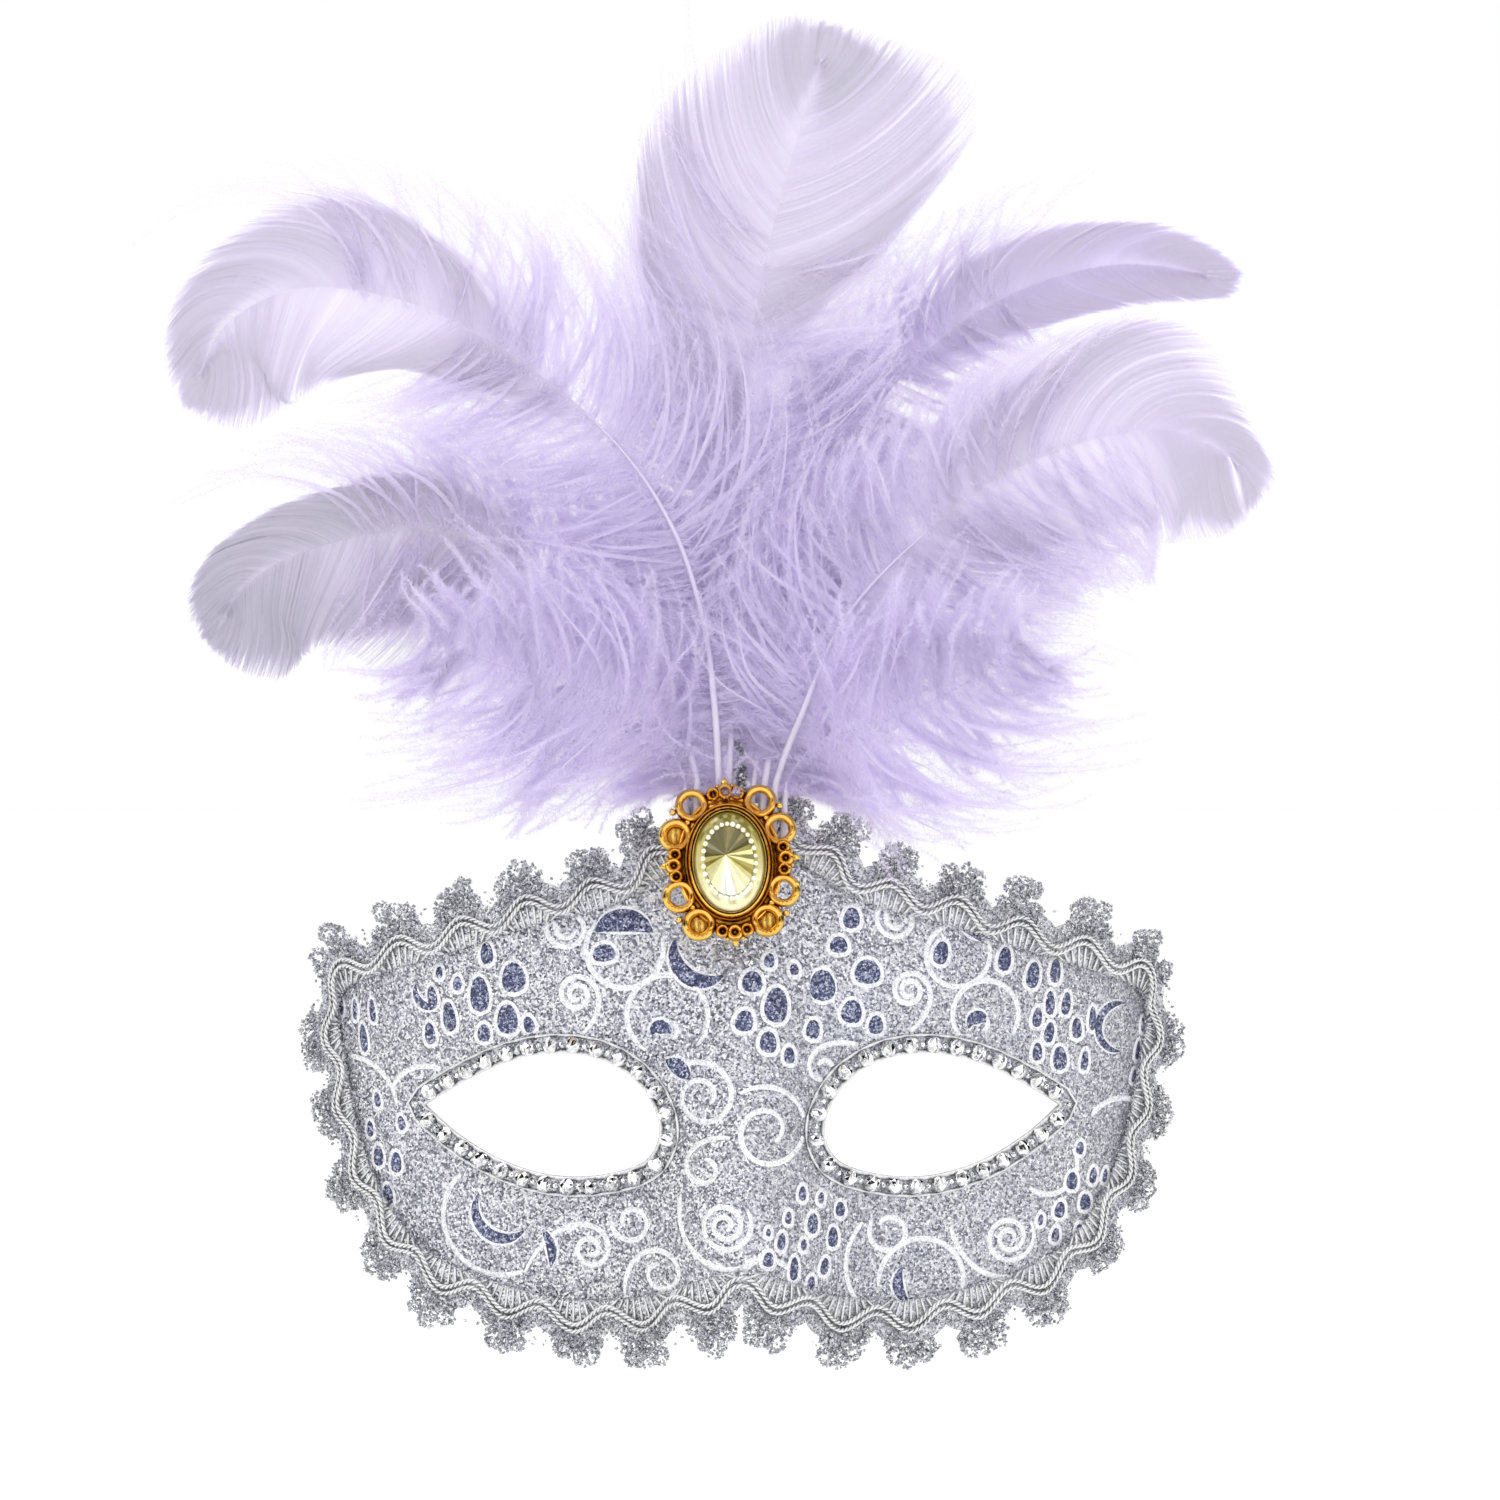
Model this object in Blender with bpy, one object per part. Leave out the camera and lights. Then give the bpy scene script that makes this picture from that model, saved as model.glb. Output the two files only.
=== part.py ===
"""Venetian masquerade half mask with a feather crest, modelled as separate pieces.

Millimetres inside the functions, metres in the objects. +Z is up, the mask faces -Y, and the
origin is where the inside of the nose bridge rests on the wearer, midway between the eyes.
"""

import math

import bmesh
import bpy
import numpy as np
from mathutils import Matrix, Vector

MM = 0.001
GAP = 0.3                    # clearance between glued layers

# The face surface that every glued layer follows.
FACE_RADIUS = 92.0           # wrap round the face, seen from above
LEAN_RADIUS = 260.0          # fore and aft curve, seen from the side
NOSE_AT_BROW = 2.5
NOSE_AT_TIP = 17.5
NOSE_TOP_Z = 36.0
NOSE_TIP_Z = -32.0
NOSE_HALF_WIDTH = (10.0, 15.5)   # at the brow, at the tip
SOCKET_DEPTH = 2.2
EYE_CENTRE_X = 36.0
SHELL_THICKNESS = 1.2
FABRIC_THICKNESS = 0.45
NOSE_STEP = 4.0              # width of the facets of the moulded surface over the nose
NOSE_REACH = 28.0
CHEEK_STEP = 7.4
GRID_HEIGHT = 5.9

# Right half of the mask's outline, from the top peak round the temple to the nose notch: (x, z).
HALF_OUTLINE = [
    (0.0, 55.0), (7.0, 51.5), (14.5, 45.5), (24.0, 40.0), (37.0, 36.5), (52.0, 31.5), (66.0, 27.0),
    (74.0, 23.0), (75.8, 15.0), (74.3, 6.5), (71.8, -6.0), (67.0, -18.0), (58.0, -28.5),
    (44.0, -34.0), (29.0, -36.5), (16.0, -35.0), (7.0, -31.5), (0.0, -29.5),
]
# The eye opening on the right, from its pointed outer corner over the top: (x, z).
EYE_OUTLINE = [
    (57.0, 0.5), (50.0, 4.8), (42.0, 8.6), (33.5, 10.4), (25.0, 9.4), (18.0, 5.0), (14.6, -2.0),
    (17.0, -8.0), (25.0, -10.9), (34.0, -11.2), (43.0, -8.8), (51.0, -4.4),
]

# Braid, beads and cords on the edges.
TAPE_INSIDE = 5.5            # how far the braid's tape reaches in from the edge
TAPE_THICKNESS = 0.7
TAPE_GAP = 0.85              # between the fabric and the tape, whose facets differ
SCALLOPS = 32
SCALLOP_STATIONS = 4
SCALLOP_REACH = (3.2, 9.0)   # valley and tip, beyond the edge
WAVE_HEIGHT = 1.7
CORD_RADIUS = 0.42
CORD_SPACING = 1.35
BEADS = 26
BEAD_RADIUS = 1.5
BEAD_NECK_RADIUS = 0.65
BEAD_LINE = 1.7              # from the opening's edge to the bead centres

# Temple lands, where a strap is glued or threaded.
LAND_SIZE = (7.0, 1.6, 12.0)
LAND_X = 69.5
LAND_Z = 8.0
LAND_STANDS_PROUD = 0.8
STRAP_HOLE_RADIUS = 1.5
STRAP_HOLE_DROP = 3.5

# Brooch.
BROOCH_X = -2.2
BROOCH_Z = 44.5
BROOCH_ROLL = math.radians(3.6)
BROOCH_STANDOFF = 6.0        # from the fabric to the back of the brooch
GEM_SIZE = (12.4, 17.2)      # visible part of a standard 13 x 18 stone
GEM_HEIGHT = 4.2
BEZEL_WALL = 1.2
BEZEL_HEIGHT = 2.6
PLATE_THICKNESS = 0.9
LOOP_ORBIT = (10.9, 12.9)    # half axes of the ellipse through the loop centres
LOOPS = 12
LOOP_RADIUS = 1.65
LOOP_WIRE = 0.6
FINIAL_REACH = 2.6

GLUE_ZS = (35.0, 43.5, 55.0)  # foot, top of the thick part, top of the skin
GLUE_SKIN = 0.5

# Plumes. Quills stand side by side behind the brooch, and each plume has its own layer in depth.
QUILL_FOOT_Z = 47.0
QUILL_PITCH = 1.9
QUILL_RADII = (0.7, 0.3)
QUILL_STATIONS = 20
LAYER_STEP = 3.4
LAYER_DEPTH = 4.0            # depth of the middle layer
FAN_OUT = (13.0, 31.0)       # distances from the foot between which the layers separate
VANE_THICKNESS = 0.6
VANE_BEHIND_QUILL = 1.6
VANE_STATIONS = 11
VANE_COLUMNS = 4
SPLINE_STEPS = 5

# name: slot in the row of quills, layer from the front, how far the tip curls in depth, half widths
# near the foot and near the tip as (left, right), and the shaft's points (x, z) above the foot.
PLUMES = {
    "crown": (4, 5, -9.0, (20.0, 20.0), (27.0, 26.0),
              [(-2.2, 61.0), (-1.2, 90.0), (0.0, 117.0), (2.5, 143.0), (7.5, 164.0), (15.0, 188.5)]),
    "upper_left": (3, 3, 10.0, (14.0, 9.0), (15.0, 15.0),
                   [(-4.2, 61.0), (-4.9, 73.0), (-6.8, 87.0), (-12.0, 103.0), (-22.0, 118.0),
                    (-38.0, 132.0), (-57.0, 142.5), (-77.0, 146.0), (-91.0, 140.0), (-97.0, 129.0)]),
    "lower_left": (1, 4, -10.0, (14.0, 11.0), (12.5, 12.0),
                   [(-8.3, 60.5), (-12.0, 72.0), (-22.0, 86.0), (-38.0, 98.0), (-56.0, 103.0),
                    (-74.0, 100.0), (-86.0, 93.5), (-92.5, 84.0)]),
    "upper_right": (7, 7, 8.0, (8.0, 9.0), (7.0, 8.0),
                    [(4.4, 61.0), (8.0, 83.0), (15.0, 108.0), (26.0, 128.0), (43.0, 143.0),
                     (66.0, 151.0), (89.5, 149.0)]),
    "lower_right": (8, 2, -8.0, (16.0, 19.0), (20.0, 18.0),
                    [(6.6, 60.5), (9.8, 69.0), (18.5, 88.0), (34.0, 104.0), (50.0, 114.5),
                     (70.0, 120.0), (83.0, 116.5), (90.5, 107.5)]),
    "down_left": (0, 1, -4.0, (15.0, 11.0), (15.0, 9.0),
                  [(-10.6, 60.5), (-15.0, 67.0), (-28.0, 75.0), (-42.0, 79.0), (-56.0, 84.0)]),
    "down_right": (9, 0, -4.0, (13.0, 16.0), (11.0, 15.0),
                   [(8.6, 60.0), (14.0, 66.0), (25.0, 69.5), (38.0, 75.5), (50.0, 84.0)]),
    "down_rear": (6, 6, -1.0, (15.0, 13.0), (12.0, 12.0),
                  [(2.4, 61.0), (5.0, 84.0), (9.5, 105.0), (15.0, 122.0), (19.0, 138.0)]),
}
TAIL_SLOT = 5
TAIL_PROFILE = [(47.5, 0.7), (56.0, 0.7), (60.0, 0.95), (66.0, 0.8), (69.5, 0.8), (71.5, 0.4)]  # (z, radius)


# ---------------------------------------------------------------- scene and mesh helpers

def clear_scene():
    for obj in list(bpy.data.objects):
        bpy.data.objects.remove(obj)


def material(name, colour, roughness, metallic=0.0):
    found = bpy.data.materials.get(name)
    if found:
        return found
    made = bpy.data.materials.new(name)
    made.use_nodes = True
    shader = made.node_tree.nodes["Principled BSDF"]
    shader.inputs["Base Color"].default_value = (*colour, 1.0)
    shader.inputs["Roughness"].default_value = roughness
    shader.inputs["Metallic"].default_value = metallic
    return made


def white_plastic():
    return material("white_plastic", (0.86, 0.86, 0.84), 0.45)


def glitter_cloth():
    return material("glitter_cloth", (0.62, 0.63, 0.67), 0.4, 0.4)


def silver_yarn():
    return material("silver_yarn", (0.60, 0.61, 0.66), 0.35, 0.7)


def silver_metal():
    return material("silver_metal", (0.88, 0.88, 0.88), 0.12, 1.0)


def gold_metal():
    return material("gold_metal", (0.83, 0.52, 0.12), 0.18, 1.0)


def yellow_gem():
    return material("yellow_gem", (0.86, 0.82, 0.45), 0.05)


def hot_glue():
    return material("hot_glue", (0.85, 0.83, 0.74), 0.4)


def feather_vane():
    return material("feather_vane", (0.76, 0.70, 0.90), 0.75)


def feather_quill():
    return material("feather_quill", (0.86, 0.84, 0.90), 0.5)


def link(name, data, look):
    obj = bpy.data.objects.new(name, data)
    data.materials.append(look)
    bpy.context.scene.collection.objects.link(obj)
    return obj


def mesh_object(name, build, look):
    """An object whose mesh is made in millimetres by build(bm)."""
    mesh = bpy.data.meshes.new(name)
    bm = bmesh.new()
    build(bm)
    bmesh.ops.scale(bm, vec=(MM, MM, MM), verts=bm.verts)
    bmesh.ops.recalc_face_normals(bm, faces=bm.faces)
    bm.to_mesh(mesh)
    bm.free()
    mesh.shade_smooth()
    mesh.set_sharp_from_angle(angle=math.radians(40))
    return link(name, mesh, look)


def cutter(name, build):
    obj = mesh_object(name, build, white_plastic())
    obj.hide_render = True
    obj.display_type = "WIRE"
    return obj


def boolean(obj, other, operation):
    modifier = obj.modifiers.new(operation.lower() + "_" + other.name, "BOOLEAN")
    modifier.operation = operation
    modifier.object = other


def ring_body(bm, rings, closed):
    """Joins rings of equal length with quads, and caps the ends unless the row of rings closes."""
    made = [[bm.verts.new(p) for p in ring] for ring in rings]
    count = len(made[0])
    pairs = list(zip(made, made[1:] + made[:1])) if closed else list(zip(made, made[1:]))
    for first, second in pairs:
        for i in range(count):
            j = (i + 1) % count
            bm.faces.new((first[i], first[j], second[j], second[i]))
    if not closed:
        bm.faces.new(made[0][::-1])
        bm.faces.new(made[-1])


# ---------------------------------------------------------------- curves and the face surface

def spline(points, steps, closed=False, corner=False):
    """Points on a Catmull-Rom curve. A closed one may keep a corner at its start."""
    given = [np.array(p, float) for p in points]
    count = len(given)
    made = []
    for i in range(count if closed else count - 1):
        start, end = given[i], given[(i + 1) % count]
        before = given[i - 1] if (closed or i) else 2 * start - end
        after = given[(i + 2) % count] if (closed or i + 2 < count) else 2 * end - start
        if corner and i == 0:
            before = start
        if corner and i == count - 1:
            after = end
        for k in range(steps):
            t = k / steps
            made.append(0.5 * (2 * start + (end - before) * t
                               + (2 * before - 5 * start + 4 * end - after) * t * t
                               + (3 * start - before - 3 * end + after) * t ** 3))
    if not closed:
        made.append(given[-1])
    return made


def resample(points, count, closed):
    """count points at equal distances along a run of points."""
    run = np.array(points + points[:1] if closed else points)
    far = np.concatenate([[0.0], np.cumsum(np.linalg.norm(np.diff(run, axis=0), axis=1))])
    at = np.linspace(0.0, far[-1], count + 1 if closed else count)
    made = np.stack([np.interp(at, far, run[:, k]) for k in range(run.shape[1])], axis=1)
    return list(made[:-1] if closed else made)


def smooth_step(low, high, value):
    t = min(max((value - low) / (high - low), 0.0), 1.0)
    return t * t * (3 - 2 * t)


def nose_height(z):
    return NOSE_AT_BROW + (NOSE_AT_TIP - NOSE_AT_BROW) * smooth_step(NOSE_TOP_Z, NOSE_TIP_Z, z)


def face_depth(x, z):
    """Depth of the shell's front surface at (x, z). The shell's inside passes through the origin."""
    wrap = FACE_RADIUS - math.sqrt(FACE_RADIUS ** 2 - x * x)
    lean = z * z / (2 * LEAN_RADIUS)
    narrow, broad = NOSE_HALF_WIDTH
    width = narrow + (broad - narrow) * smooth_step(NOSE_TOP_Z, NOSE_TIP_Z, z)
    nose = nose_height(z) * math.exp(-((x / width) ** 2))
    socket = SOCKET_DEPTH * math.exp(-(((abs(x) - EYE_CENTRE_X) / 22.0) ** 2) - (z / 14.0) ** 2)
    return wrap + lean + socket - nose + nose_height(0.0) - SHELL_THICKNESS


def face_normal(x, z):
    """Unit normal of the face surface, pointing out of the front."""
    step = 0.2
    slope_x = (face_depth(x + step, z) - face_depth(x - step, z)) / (2 * step)
    slope_z = (face_depth(x, z + step) - face_depth(x, z - step)) / (2 * step)
    return Vector((slope_x, -1.0, slope_z)).normalized()


def on_face(x, z, lift):
    """A point lifted in front of the shell's front surface, measured along the surface's normal."""
    return Vector((x, face_depth(x, z) + lift / face_normal(x, z).y, z))


def mask_outline(count):
    """The whole outline, clockwise seen from the front, from the top peak."""
    mirrored = [(-x, z) for x, z in HALF_OUTLINE[-2:0:-1]]
    return resample(spline(HALF_OUTLINE + mirrored, 8, closed=True), count, closed=True)


def eye_outline(side, count, grow=0.0):
    """An eye opening's outline, grown outward by grow."""
    points = resample(spline(EYE_OUTLINE, 8, closed=True, corner=True), count, closed=True)
    made = []
    for i, point in enumerate(points):
        along = points[(i + 1) % count] - points[i - 1]
        outward = np.array([along[1], -along[0]]) / np.linalg.norm(along)
        moved = point + outward * grow
        made.append((side * moved[0], moved[1]))
    return made


# ---------------------------------------------------------------- moulded layers

def layer(bm, low, high):
    """A closed slab of the face surface between two lifts, wider than the mask."""
    nose = np.arange(-NOSE_REACH, NOSE_REACH + 0.1, NOSE_STEP)
    cheek = NOSE_REACH + CHEEK_STEP * np.arange(1, 8)
    xs = np.concatenate([-cheek[::-1], nose, cheek])
    zs = -40.0 + GRID_HEIGHT * np.arange(18)
    sheets = [[[bm.verts.new(on_face(x, z, lift)) for z in zs] for x in xs] for lift in (low, high)]
    for number, sheet in enumerate(sheets):
        for i in range(len(xs) - 1):
            for j in range(len(zs) - 1):
                a, b = sheet[i][j], sheet[i + 1][j]
                c, d = sheet[i + 1][j + 1], sheet[i][j + 1]
                for corners in ((a, b, c), (a, c, d)):
                    bm.faces.new(corners if number else corners[::-1])
    back, front = sheets
    last_x, last_z = len(xs) - 1, len(zs) - 1
    edge = [(i, 0) for i in range(last_x)] + [(last_x, j) for j in range(last_z)]
    edge += [(i, last_z) for i in range(last_x, 0, -1)] + [(0, j) for j in range(last_z, 0, -1)]
    for (i, j), (k, m) in zip(edge, edge[1:] + edge[:1]):
        bm.faces.new((back[i][j], back[k][m], front[k][m], front[i][j]))


def prism(bm, outline):
    """A prism along Y through the whole mask, from an outline of (x, z)."""
    ring_body(bm, [[(x, y, z) for x, z in outline] for y in (-40.0, 90.0)], closed=False)


def temple_frame(side):
    """Axes and place of a temple land: its outward face looks into the hollow of the mask."""
    inward = -face_normal(side * LAND_X, LAND_Z)
    up = Vector((0, 0, 1)) - inward * inward.z
    up.normalize()
    across = up.cross(inward)
    place = Vector(on_face(side * LAND_X, LAND_Z, -SHELL_THICKNESS))
    return Matrix.Translation(place) @ Matrix((across, inward, up)).transposed().to_4x4()


def temple_land(bm, side):
    width, depth, height = LAND_SIZE
    centre = Matrix.Translation((0, LAND_STANDS_PROUD - depth / 2, 0))
    size = Matrix.Diagonal((width, depth, height, 1))
    bmesh.ops.create_cube(bm, size=1.0, matrix=temple_frame(side) @ centre @ size)


def strap_hole(bm, side):
    turn = Matrix.Rotation(math.radians(90), 4, "X")
    drop = Matrix.Translation((0, 0, -STRAP_HOLE_DROP))
    bmesh.ops.create_cone(bm, cap_ends=True, segments=12, radius1=STRAP_HOLE_RADIUS,
                          radius2=STRAP_HOLE_RADIUS, depth=8.0, matrix=temple_frame(side) @ drop @ turn)


def mask_cutters():
    outline = cutter("outline_cutter", lambda bm: prism(bm, mask_outline(112)))
    eyes = []
    for side in (-1, 1):
        eyes.append(cutter(f"eye_cutter_{side}", lambda bm, s=side: prism(bm, eye_outline(s, 48))))
    return outline, eyes


def build_shell(outline, eyes):
    shell = mesh_object("mask_shell", lambda bm: layer(bm, -SHELL_THICKNESS, 0.0), white_plastic())
    boolean(shell, outline, "INTERSECT")
    for side, eye in zip((-1, 1), eyes):
        boolean(shell, eye, "DIFFERENCE")
        boolean(shell, cutter(f"land_{side}", lambda bm, s=side: temple_land(bm, s)), "UNION")
        boolean(shell, cutter(f"strap_hole_{side}", lambda bm, s=side: strap_hole(bm, s)), "DIFFERENCE")


def build_fabric(outline, eyes):
    front = GAP + FABRIC_THICKNESS
    fabric = mesh_object("glitter_fabric", lambda bm: layer(bm, GAP, front), glitter_cloth())
    boolean(fabric, outline, "INTERSECT")
    for eye in eyes:
        boolean(fabric, eye, "DIFFERENCE")


# ---------------------------------------------------------------- braid and beads

def edge_frames(count):
    """Points on the mask's edge, each with the unit direction that leads out of the mask in the surface."""
    outline = mask_outline(count)
    made = []
    for i, (x, z) in enumerate(outline):
        normal = face_normal(x, z)
        ahead, behind = outline[(i + 1) % count], outline[i - 1]
        along = on_face(*ahead, 0.0) - on_face(*behind, 0.0)
        made.append(((x, z), normal.cross(along).normalized()))
    return made


def beside_edge(frame, reach, lift):
    """A point a distance out from the edge, following the surface, lifted off it."""
    (x, z), out = frame
    return on_face(x + out.x * reach, z + out.z * reach, lift)


def tape_lift():
    return GAP + FABRIC_THICKNESS + TAPE_GAP


def braid_tape(bm):
    count = SCALLOPS * SCALLOP_STATIONS
    valley, tip = SCALLOP_REACH
    low, high = tape_lift(), tape_lift() + TAPE_THICKNESS
    rings = []
    for i, frame in enumerate(edge_frames(count)):
        swell = abs(math.sin(math.pi * i / SCALLOP_STATIONS)) ** 0.7
        reach = valley + (tip - valley) * swell
        rings.append([beside_edge(frame, -TAPE_INSIDE, low), beside_edge(frame, -TAPE_INSIDE, high),
                      beside_edge(frame, reach, high), beside_edge(frame, reach, low)])
    ring_body(bm, rings, closed=True)


def wave_cord(bm, reach):
    """One of the two cords that wave along the tape."""
    count = SCALLOPS * SCALLOP_STATIONS
    lift = tape_lift() + TAPE_THICKNESS + GAP + CORD_RADIUS
    rings = []
    for i, frame in enumerate(edge_frames(count)):
        middle = reach - WAVE_HEIGHT * math.cos(2 * math.pi * i / SCALLOP_STATIONS)
        turns = np.arange(4) * math.pi / 2
        corners = [(CORD_RADIUS * math.cos(a), CORD_RADIUS * math.sin(a)) for a in turns]
        rings.append([beside_edge(frame, middle + across, lift + up) for across, up in corners])
    ring_body(bm, rings, closed=True)


def build_braid():
    mesh_object("edge_braid", braid_tape, silver_yarn())
    for name, reach in (("inner_wave_cord", -CORD_SPACING / 2), ("outer_wave_cord", CORD_SPACING / 2)):
        mesh_object(name, lambda bm, r=reach: wave_cord(bm, r), silver_yarn())


def bead_string(bm, side):
    """Beads and the necks between them, swept as one string round the eye opening."""
    stations = (0.0, 0.3, 0.7)
    shares = (BEAD_NECK_RADIUS / BEAD_RADIUS, 1.0, 1.0)
    line = eye_outline(side, BEADS * 20, BEAD_LINE)
    lift = GAP + FABRIC_THICKNESS + GAP + BEAD_RADIUS
    rings = []
    for bead in range(BEADS):
        for station, share in zip(stations, shares):
            i = round((bead + station) * 20) % len(line)
            x, z = line[i]
            ahead, behind = line[(i + 4) % len(line)], line[i - 4]
            along = (on_face(*ahead, lift) - on_face(*behind, lift)).normalized()
            normal = face_normal(x, z)
            across = along.cross(normal).normalized()
            normal = across.cross(along).normalized()
            radius = BEAD_RADIUS * share
            rings.append([on_face(x, z, lift) + across * radius * math.cos(a) + normal * radius * math.sin(a)
                          for a in np.arange(5) * math.pi / 2.5])
    ring_body(bm, rings, closed=True)


def build_bead_strings():
    for name, side in (("eye_beads_left", -1), ("eye_beads_right", 1)):
        mesh_object(name, lambda bm, s=side: bead_string(bm, s), silver_metal())


# ---------------------------------------------------------------- brooch

def fabric_front(z):
    """Depth of the fabric's front on the centre line."""
    return on_face(0.0, z, GAP + FABRIC_THICKNESS).y


def brooch_lean():
    """How far the forehead part of the mask leans back under the brooch, as an angle."""
    return math.atan((fabric_front(BROOCH_Z + 10) - fabric_front(BROOCH_Z - 10)) / 20)


def brooch_frame():
    """Local axes of the brooch: x across, y along its height, z out of its front."""
    place = Vector((BROOCH_X, fabric_front(BROOCH_Z) - BROOCH_STANDOFF, BROOCH_Z))
    lean = Matrix.Rotation(math.radians(90) - brooch_lean(), 4, "X")
    return Matrix.Translation(place) @ lean @ Matrix.Rotation(BROOCH_ROLL, 4, "Z")


def oval(half_x, half_y, z, count):
    return [(half_x * math.cos(a), half_y * math.sin(a), z) for a in np.arange(count) * 2 * math.pi / count]


def oval_stack(bm, steps, count, closed=False):
    """Rings of ovals: each step is (half x, half y, z)."""
    ring_body(bm, [oval(hx, hy, z, count) for hx, hy, z in steps], closed)


def bezel(bm):
    """The plate, and the raised rim that holds the stone, turned as one oval profile."""
    gem_x, gem_y = GEM_SIZE[0] / 2 + GAP, GEM_SIZE[1] / 2 + GAP
    steps = [(grow + gem_x, grow + gem_y, z) for grow, z in (
        (BEZEL_WALL + 0.6, 0.0), (BEZEL_WALL + 0.6, PLATE_THICKNESS), (BEZEL_WALL, PLATE_THICKNESS),
        (BEZEL_WALL, BEZEL_HEIGHT - 0.5), (BEZEL_WALL - 0.5, BEZEL_HEIGHT), (0.3, BEZEL_HEIGHT),
        (0.0, BEZEL_HEIGHT - 0.3), (0.0, PLATE_THICKNESS))]
    oval_stack(bm, steps, 32)


def loop_place(number):
    angle = 2 * math.pi * number / LOOPS
    return LOOP_ORBIT[0] * math.cos(angle), LOOP_ORBIT[1] * math.sin(angle)


def wire_loop(bm, number):
    """One open loop of the filigree border. Every third one is smaller and carries a pointed finial."""
    finial = number % 3 == 0
    x, y = loop_place(number)
    radius = LOOP_RADIUS * (0.75 if finial else 1.0)
    rings = []
    for a in np.arange(8) * math.pi / 4:
        out = Vector((math.cos(a), math.sin(a), 0))
        centre = Vector((x, y, LOOP_WIRE + 0.15)) + out * radius
        rings.append([centre + out * LOOP_WIRE * math.cos(b) + Vector((0, 0, LOOP_WIRE * math.sin(b)))
                      for b in np.arange(5) * math.pi / 2.5])
    ring_body(bm, rings, closed=True)


def finial_point(bm, number):
    x, y = loop_place(number)
    out = Vector((x, y, 0)).normalized()
    start = Vector((x, y, LOOP_WIRE + 0.15)) + out * (LOOP_RADIUS * 0.75)
    turn = out.to_track_quat("Z", "Y").to_matrix().to_4x4()
    bmesh.ops.create_cone(bm, cap_ends=True, segments=8, radius1=0.75, radius2=0.2, depth=FINIAL_REACH - 0.6,
                          matrix=Matrix.Translation(start + out * (FINIAL_REACH - 0.6) / 2) @ turn)


def stem(bm, number):
    """Short bar that joins a loop to the plate."""
    x, y = loop_place(number)
    out = Vector((x, y, 0)).normalized()
    turn = out.to_track_quat("Z", "Y").to_matrix().to_4x4()
    middle = Vector((x, y, PLATE_THICKNESS / 2 + 0.07)) - out * (LOOP_RADIUS + 0.4)
    bmesh.ops.create_cone(bm, cap_ends=True, segments=7, radius1=0.36, radius2=0.36, depth=2.2,
                          matrix=Matrix.Translation(middle) @ turn)


def build_brooch():
    frame = brooch_frame()
    to_world = Matrix.Diagonal((MM, MM, MM, 1)) @ frame @ Matrix.Diagonal((1 / MM, 1 / MM, 1 / MM, 1))
    brooch = mesh_object("brooch_frame", bezel, gold_metal())
    pieces = []
    for number in range(LOOPS):
        pieces.append(cutter(f"loop_{number}", lambda bm, n=number: wire_loop(bm, n)))
        pieces.append(cutter(f"stem_{number}", lambda bm, n=number: stem(bm, n)))
        if number % 3 == 0:
            pieces.append(cutter(f"finial_{number}", lambda bm, n=number: finial_point(bm, n)))
    for piece in pieces:
        piece.matrix_world = to_world
        boolean(brooch, piece, "UNION")
    brooch.matrix_world = to_world
    gem = mesh_object("gem", faceted_stone, yellow_gem())
    gem.matrix_world = to_world


def faceted_stone(bm):
    """Oval stone: flat back, girdle, crown facets and a domed table."""
    half_x, half_y = GEM_SIZE[0] / 2, GEM_SIZE[1] / 2
    base = PLATE_THICKNESS + GAP
    steps = [(half_x * s, half_y * s, base + GEM_HEIGHT * h) for s, h in (
        (0.92, 0.0), (1.0, 0.12), (1.0, 0.28), (0.86, 0.62), (0.62, 0.88), (0.3, 1.0))]
    oval_stack(bm, steps, 20)


def brooch_back(z):
    """Depth of the plane of the brooch's back."""
    return fabric_front(BROOCH_Z) - BROOCH_STANDOFF + math.tan(brooch_lean()) * (z - BROOCH_Z)


def build_glue():
    """Hot glue that holds the brooch: down to the fabric below the quills, and a skin in front of them."""
    half_width = 5.0
    skin = GAP + GLUE_SKIN
    behind_brooch = [(GAP, GLUE_ZS[0]), (GAP, GLUE_ZS[2]), (skin, GLUE_ZS[2]), (skin, GLUE_ZS[1])]
    outline = [(brooch_back(z) + deep, z) for deep, z in behind_brooch]
    outline += [(fabric_front(z) - GAP, z) for z in (GLUE_ZS[1], GLUE_ZS[0])]

    ends = [[(BROOCH_X + x, y, z) for y, z in outline] for x in (-half_width, half_width)]
    mesh_object("glue_pad", lambda bm: ring_body(bm, ends, closed=False), hot_glue())


# ---------------------------------------------------------------- plumes

def quill_row(z):
    """Depth of the row of quills behind the brooch."""
    return brooch_back(z) + GLUE_SKIN + 2 * GAP + QUILL_RADII[0]


def slot_x(slot):
    return BROOCH_X + (slot - 4) * QUILL_PITCH


def shaft(name):
    """Points along a plume's shaft, and the distance of each from the foot."""
    slot, place, curl, _, _, points = PLUMES[name]
    foot = (slot_x(slot), QUILL_FOOT_Z)
    run = [foot, (0.75 * foot[0] + 0.25 * points[0][0], 56.0)] + points
    flat = resample(spline(run, SPLINE_STEPS), QUILL_STATIONS, closed=False)
    far = np.concatenate([[0.0], np.cumsum(np.linalg.norm(np.diff(flat, axis=0), axis=1))])
    depth = LAYER_DEPTH + (place - 3.5) * LAYER_STEP
    made = []
    for (x, z), gone in zip(flat, far):
        leave = smooth_step(*FAN_OUT, gone)
        y = quill_row(min(z, 60.0)) * (1 - leave) + depth * leave
        y += curl * smooth_step(0.45, 1.0, gone / far[-1]) ** 1.5
        made.append(Vector((x, y, z)))
    return made, far


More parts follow.
